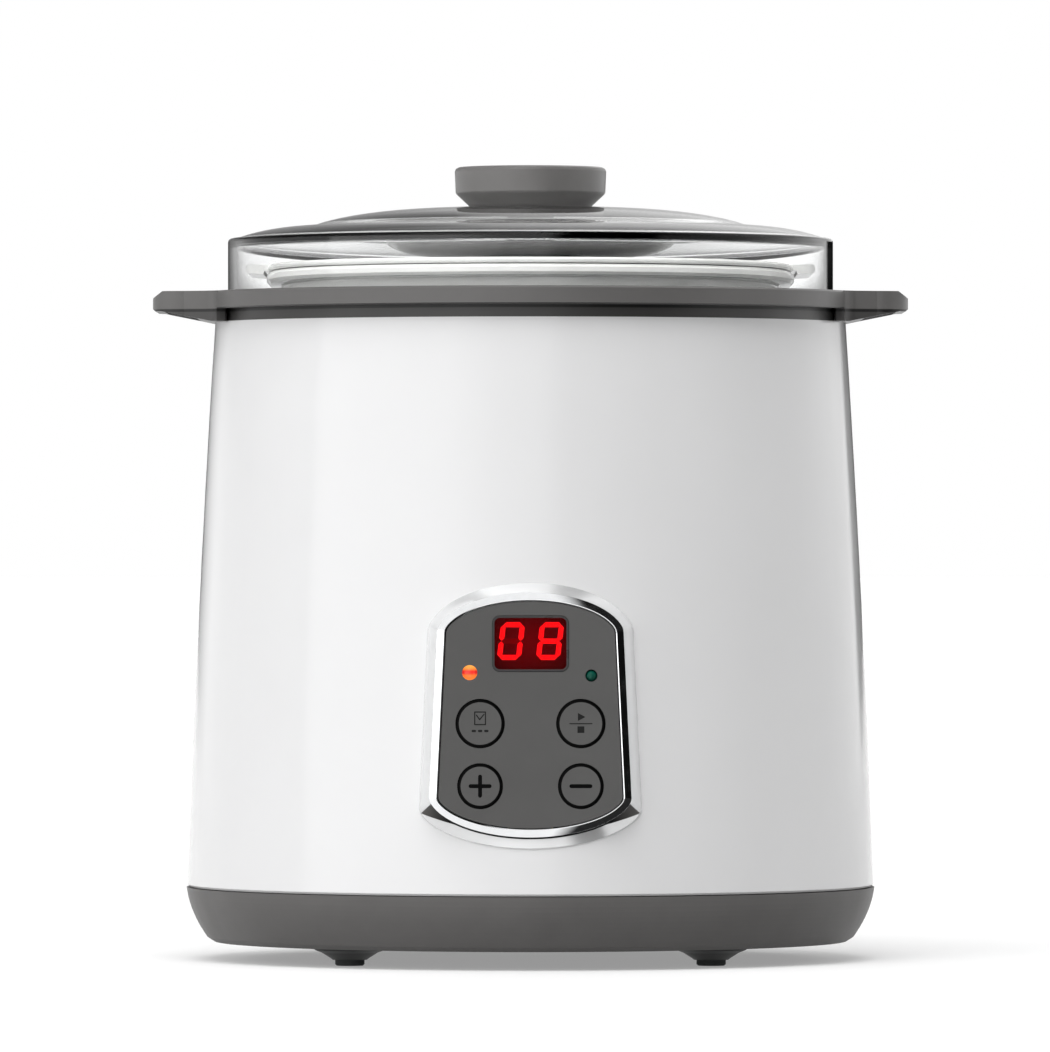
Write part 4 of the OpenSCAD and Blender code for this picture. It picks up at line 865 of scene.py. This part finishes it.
BUTTONS = {
    "function": (-BUTTON_X, *BIG_BUTTON), "start": (BUTTON_X, *BIG_BUTTON),
    "plus": (-BUTTON_X, *SMALL_BUTTON), "minus": (BUTTON_X, *SMALL_BUTTON),
}
FLANGE_TOP = -2.5
FLANGE_LOW = -3.5
PLUNGER_END = -6.6
PLUNGER_R = 2.5
CAP_STEPS = 8             # rings in the dished top
FLANGE_REACH = 0.9        # how far the flange stands out from the cap


def make_button(key):
    """A cap with a black edge of painted gap shade, its flange and its plunger."""
    x, y, r = BUTTONS[key]
    flat = r - RING_W
    top = []
    for i in range(CAP_STEPS + 1):
        out = 1 - i / CAP_STEPS
        top.append((flat * out, CAP_FRONT - CAP_DIP * (1 - out ** 2)))
    profile = [
        (0, PLUNGER_END), (PLUNGER_R, PLUNGER_END), (PLUNGER_R, FLANGE_LOW),
        (r + FLANGE_REACH, FLANGE_LOW), (r + FLANGE_REACH, FLANGE_TOP), (r, FLANGE_TOP),
        (r, CAP_FRONT - 0.4), (r - 0.1, CAP_FRONT - 0.15), (r - 0.35, CAP_FRONT),
    ] + top
    at = TO_PANEL @ Matrix.Translation((x, y, 0))
    rim = flat + 0.01
    centre = Vector(on_panel(x, y, 0)) * MM
    normal = (TO_PANEL.to_3x3() @ Vector((0, 0, 1))).normalized()

    def paint(face):
        """The second material outside the cap's grey top."""
        out = face.center - centre
        out -= normal * out.dot(normal)
        return 1 if out.length > rim * MM else 0

    cap = lathe(f"{key}_cap", profile, f"{key}_key", 96, 35, [button_grey, ink_and_gap_shade], paint, at)
    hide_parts(f"{key}_button")


def mark(key, rings, material):
    """Printed strokes, a hair proud of a button's dished front."""
    x, y, _ = BUTTONS[key]
    moved = [[(px + x, py + y) for px, py in ring] for ring in rings]
    low, high = CAP_FRONT - 0.3, CAP_FRONT - CAP_DIP + 0.05
    piece = slab(f"{key}_mark", moved, low, high, f"{key}_key", material)


def path(points, w):
    """Strokes from point to point."""
    return [capsule(p, q, w) for p, q in zip(points, points[1:])]


def make_marks():
    """Plus, minus and two generic signs in place of words."""
    arm, bar, line = 3.2, 1.3, 0.4
    # the plus: one bar across and two short ones that meet it, so that none overlap
    upright = [p for p in capsule((0, 0), (0, arm), bar) if p[1] > 0.01]
    upright = [(bar / 2, bar / 2)] + upright + [(-bar / 2, bar / 2)]
    hanging = [(-x, -y) for x, y in upright]
    mark("plus", [capsule((-arm, 0), (arm, 0), bar), upright, hanging], ink_and_gap_shade)
    mark("minus", [capsule((-arm, 0), (arm, 0), bar)], ink_and_gap_shade)
    # a ticked page over three short strokes: choose a programme
    left, right, low, high = -1.8, 1.8, -0.35, 3.85
    sheet = path([(left, low), (right, low), (right, high), (left, high), (left, low)], line)
    tick = path([(-1.2, 2.8), (-0.15, 1.3), (1.3, 3.1)], line)
    strokes = [capsule((x - 0.35, -2.5), (x + 0.35, -2.5), 0.8) for x in (-2.1, 0, 2.1)]
    mark("function", sheet + tick + strokes, mark_ink)
    # a triangle over a square, start over stop
    triangle = [(-1.0, 0.85), (1.5, 2.2), (-1.0, 3.55)]
    square = [(-1.15, -3.15), (1.15, -3.15), (1.15, -0.95), (-1.15, -0.95)]
    mark("start", [triangle, capsule((-3.7, -0.05), (3.7, -0.05), 0.35), square], mark_ink)


make_clear_lid()
make_panel_frame()
make_display()
make_window_frame()
for key in BUTTONS:
    make_button(key)
make_marks()


# ---- Studio ----------------------------------------------------------------

# What gloss and glass see, by the direction's turn from the front (degrees,
# positive to the right, -180 and 180 straight behind) and its brightness: one list
# for each height of the direction, low to high
LOW_BANDS = [
    (-180, 0.02), (-172, 0.05), (-158, 0.5), (-146, 1.2), (-130, 1.0), (-84, 0.95), (-80, 2.2),
    (-30, 2.2), (-10, 1.1), (5, 1.0), (12, 0.005), (47, 0.005), (52, 0.3), (84, 0.5), (95, 1.1),
    (130, 1.3), (153, 1.3), (157, 0.01), (179, 0.01), (180, 0.1),
]
MID_BANDS = [
    (-180, 0.55), (-176, 0.25), (-165, 0.3), (-145, 0.7), (-120, 0.6), (-92, 0.95), (-84, 0.95),
    (-80, 2.2), (-30, 2.2), (-10, 1.1), (5, 1.0), (12, 0.005), (47, 0.005), (52, 0.3), (84, 0.5),
    (100, 0.9), (126, 1.6), (142, 1.6), (155, 0.9), (176, 0.95), (180, 0.55),
]
UP_BANDS = [
    (-180, 0.9), (-177, 0.35), (-170, 0.2), (-104, 0.12), (-60, 0.5), (-40, 1.0), (8, 1.0),
    (16, 0.005), (50, 0.02), (100, 0.9), (172, 1.2), (177, 1.15), (180, 0.9),
]
HIGH_BANDS = [
    (-180, 0.9), (-172, 0.3), (-120, 0.15), (-60, 0.5), (-40, 1.0), (8, 1.0), (16, 0.005),
    (50, 0.02), (100, 0.8), (172, 1.1), (180, 0.9),
]
# What is seen through glass: white behind, dark from above; light bent round inside a wall
GLASS_LOW = [
    (-180, 1.25), (-176, 1.3), (-171, 1.5), (-160, 0.7), (-150, 0.5), (-90, 0.9), (90, 0.9),
    (150, 0.8), (160, 1.2), (170, 1.8), (176, 1.4), (180, 1.25),
]
GLASS_UP = [(-180, 0.03), (180, 0.03)]
GLASS_BENT = [
    (-180, 0.02), (-168, 0.08), (-157, 0.35), (-150, 0.03), (-90, 0.05), (90, 0.05), (180, 0.01),
]
BAND_PEAK = 2.5               # the colour ramps hold brightness as a share of this
MID_FROM = (0.035, 0.06)      # height of the unit direction where the bands change over
UP_FROM = (0.15, 0.22)
HIGH_FROM = (0.42, 0.5)
GLASS_FROM = (0.09, 0.14)
# Matt surfaces see an even light, strongest from the left and from behind
FILL_BANDS = [
    (-180, 2.2), (-135, 2.0), (-105, 1.55), (-85, 1.6), (-55, 1.75), (-25, 1.8), (-5, 1.55),
    (8, 1.2), (35, 0.4), (60, 0.06), (75, 0.1), (90, 0.55), (110, 1.7), (135, 2.4), (180, 2.2),
]
FILL_TOP = (0.28, 0.75, 0.12)  # between these heights the matt light falls to this share
INSIDE = 1.6                  # the matt light's share where it comes through glass

FLOOR_HALF = 40.0             # half the floor's side, in metres
FLOOR_GREY = 0.68             # the floor's reflectance
FLOOR_BOUNCE = 0.36           # its reflectance for what it lends to matt things
FLOOR_GLOW = 0.3              # its own light, seen only directly, in gloss and through glass
FLOOR_DARK = 0.02             # its reflectance in gloss where the flag lies
# The flag by turn from the panel: 1 is open floor, 0 is flag
FLOOR_FLAG = [(-180, 1), (11, 1), (22, 0), (60, 0), (70, 1), (180, 1)]

PHOTO_W = 1050                # the photograph's width, focal length and shift, in its pixels
FOCAL_PX = 11100
SHIFT_PX = (-5.5, 15)
SENSOR = 36                   # in millimetres
CAMERA_AT = (0, -3.84, 0.1445)


class Nodes:
    """Short names for wiring a node tree."""

    def __init__(self, nt):
        self.nt = nt

    def new(self, kind, **inputs):
        """A node with values or links on its inputs."""
        node = self.nt.nodes.new(kind)
        for key, value in inputs.items():
            self.feed(node.inputs[key.replace("_", " ")], value)
        return node

    def feed(self, socket, value):
        if isinstance(value, bpy.types.NodeSocket):
            self.nt.links.new(value, socket)
        else:
            socket.default_value = value

    def math(self, operation, a, b=0.0):
        node = self.nt.nodes.new("ShaderNodeMath")
        node.operation = operation
        self.feed(node.inputs[0], a)
        self.feed(node.inputs[1], b)
        return node.outputs["Value"]

    def ramp(self, value, low, high, to_low=0.0, to_high=1.0):
        """Value from one range to another, held at both ends."""
        node = self.new("ShaderNodeMapRange")
        keys = ("Value", "From Min", "From Max", "To Min", "To Max")
        for key, v in zip(keys, (value, low, high, to_low, to_high)):
            self.feed(node.inputs[key], v)
        return node.outputs["Result"]

    def between(self, fac, a, b):
        """From a where fac is 0 to b where it is 1."""
        node = self.nt.nodes.new("ShaderNodeMix")
        self.feed(node.inputs["Factor"], fac)
        self.feed(node.inputs["A"], a)
        self.feed(node.inputs["B"], b)
        return node.outputs["Result"]

    def turn(self, x, y):
        """Turn of a direction from the front, as 0..1 of a round from behind to behind."""
        angle = self.math("ARCTAN2", x, self.math("MULTIPLY", y, -1))
        return self.ramp(angle, -math.pi, math.pi)

    def bands(self, turn, bands):
        """Brightness by turn, with straight ramps between the (degrees, brightness) stops."""
        node = self.nt.nodes.new("ShaderNodeValToRGB")
        elements = node.color_ramp.elements
        while len(elements) > 1:
            elements.remove(elements[0])
        for i, (degrees, grey) in enumerate(bands):
            place = degrees / 360 + 0.5
            stop = elements[0] if i == 0 else elements.new(place)
            stop.position = place
            stop.color = (*[grey / BAND_PEAK] * 3, 1)
        self.nt.links.new(turn, node.inputs["Fac"])
        return self.math("MULTIPLY", node.outputs["Color"], BAND_PEAK)


def make_floor():
    """A matt floor with a glow of its own, dark in gloss where the flag lies."""
    size = FLOOR_HALF
    mesh = bpy.data.meshes.new("floor")
    corners = [(-size, -size, 0), (size, -size, 0), (size, size, 0), (-size, size, 0)]
    mesh.from_pydata(corners, [], [(0, 1, 2, 3)])
    floor = bpy.data.objects.new("floor", mesh)
    bpy.context.scene.collection.objects.link(floor)
    mat = bpy.data.materials.new("floor_white")
    mat.use_nodes = True
    nt = mat.node_tree
    kit = Nodes(nt)
    bsdf = nt.nodes["Principled BSDF"]
    bsdf.inputs["Roughness"].default_value = 1.0
    bsdf.inputs["Specular IOR Level"].default_value = 0.0
    ray = nt.nodes.new("ShaderNodeLightPath")
    bounce = kit.math("MULTIPLY", ray.outputs["Is Diffuse Ray"], FLOOR_GREY - FLOOR_BOUNCE)
    nt.links.new(kit.math("SUBTRACT", FLOOR_GREY, bounce), bsdf.inputs["Base Color"])
    coord = nt.nodes.new("ShaderNodeTexCoord").outputs["Object"]
    xyz = kit.new("ShaderNodeSeparateXYZ", Vector=coord)
    turn = kit.turn(xyz.outputs["X"], kit.math("SUBTRACT", xyz.outputs["Y"], PANEL_Y * MM))
    flag = kit.bands(turn, FLOOR_FLAG)
    open_gloss = kit.math("MULTIPLY", ray.outputs["Is Glossy Ray"], flag)
    direct = kit.math("MAXIMUM", ray.outputs["Is Camera Ray"], ray.outputs["Is Transmission Ray"])
    glow = kit.math("MULTIPLY", kit.math("ADD", direct, open_gloss), FLOOR_GLOW)
    emission = kit.new("ShaderNodeEmission", Color=(1, 1, 1, 1), Strength=glow)
    dark = kit.new("ShaderNodeBsdfDiffuse", Color=(FLOOR_DARK, FLOOR_DARK, FLOOR_DARK, 1))
    covered = kit.math("SUBTRACT", 1.0, flag)
    in_flag = kit.math("MULTIPLY", ray.outputs["Is Glossy Ray"], covered)
    ground = kit.new("ShaderNodeMixShader", Fac=in_flag)
    nt.links.new(bsdf.outputs["BSDF"], ground.inputs[1])
    nt.links.new(dark.outputs["BSDF"], ground.inputs[2])
    both = nt.nodes.new("ShaderNodeAddShader")
    nt.links.new(ground.outputs["Shader"], both.inputs[0])
    nt.links.new(emission.outputs["Emission"], both.inputs[1])
    nt.links.new(both.outputs["Shader"], nt.nodes["Material Output"].inputs["Surface"])
    mesh.materials.append(mat)


def make_world():
    """White to the camera, a banded studio in gloss and glass, gentle light on matt surfaces."""
    world = bpy.data.worlds.new("studio")
    bpy.context.scene.world = world
    world.use_nodes = True
    nt = world.node_tree
    kit = Nodes(nt)
    coord = nt.nodes.new("ShaderNodeTexCoord").outputs["Generated"]
    xyz = kit.new("ShaderNodeSeparateXYZ", Vector=coord)
    turn = kit.turn(xyz.outputs["X"], xyz.outputs["Y"])
    up = xyz.outputs["Z"]
    studio = kit.bands(turn, LOW_BANDS)
    levels = ((MID_FROM, MID_BANDS), (UP_FROM, UP_BANDS), (HIGH_FROM, HIGH_BANDS))
    for (start, end), bands in levels:
        studio = kit.between(kit.ramp(up, start, end), studio, kit.bands(turn, bands))
    ray = nt.nodes.new("ShaderNodeLightPath")
    through, gloss = ray.outputs["Is Transmission Ray"], ray.outputs["Is Glossy Ray"]
    first = kit.math("LESS_THAN", ray.outputs["Diffuse Depth"], 0.5)
    bent = kit.math("GREATER_THAN", ray.outputs["Glossy Depth"], 0.5)
    above = kit.ramp(up, *GLASS_FROM)
    straight = kit.between(above, kit.bands(turn, GLASS_LOW), kit.bands(turn, GLASS_UP))
    glass = kit.between(bent, straight, kit.bands(turn, GLASS_BENT))
    low, high, share = FILL_TOP
    fill = kit.math("MULTIPLY", kit.bands(turn, FILL_BANDS), kit.ramp(up, low, high, 1, share))
    inside = kit.math("MULTIPLY", fill, kit.ramp(through, 0, 1, 1, INSIDE))
    seen = kit.between(through, studio, glass)
    mirrored = kit.math("MULTIPLY", kit.math("MAXIMUM", gloss, through), first)
    value = kit.between(mirrored, inside, seen)
    value = kit.between(ray.outputs["Is Camera Ray"], value, 1.0)
    nt.nodes["Background"].inputs["Color"].default_value = (1, 1, 1, 1)
    nt.links.new(value, nt.nodes["Background"].inputs["Strength"])


def sun(name, turn, height, energy, spread_deg):
    """A soft even light from a turn off the front and a height, in degrees."""
    data = bpy.data.lights.new(name, "SUN")
    data.energy = energy
    data.angle = math.radians(spread_deg)
    lamp = bpy.data.objects.new(name, data)
    bpy.context.scene.collection.objects.link(lamp)
    lamp.rotation_euler = (math.radians(90 - height), 0, math.radians(turn))
    lamp.visible_glossy = False


def make_camera():
    """Level with the body's middle, framed as the photograph."""
    data = bpy.data.cameras.new("camera")
    data.sensor_fit = "HORIZONTAL"
    data.sensor_width = SENSOR
    data.lens = SENSOR * FOCAL_PX / PHOTO_W
    data.shift_x = SHIFT_PX[0] / PHOTO_W
    data.shift_y = SHIFT_PX[1] / PHOTO_W
    camera = bpy.data.objects.new("camera", data)
    bpy.context.scene.collection.objects.link(camera)
    camera.location = CAMERA_AT
    camera.rotation_euler = (math.radians(90), 0, 0)
    bpy.context.scene.camera = camera


bpy.context.scene.view_settings.view_transform = "Standard"
make_floor()
make_world()
sun("key", turn=-8, height=64, energy=2.0, spread_deg=40)
make_camera()
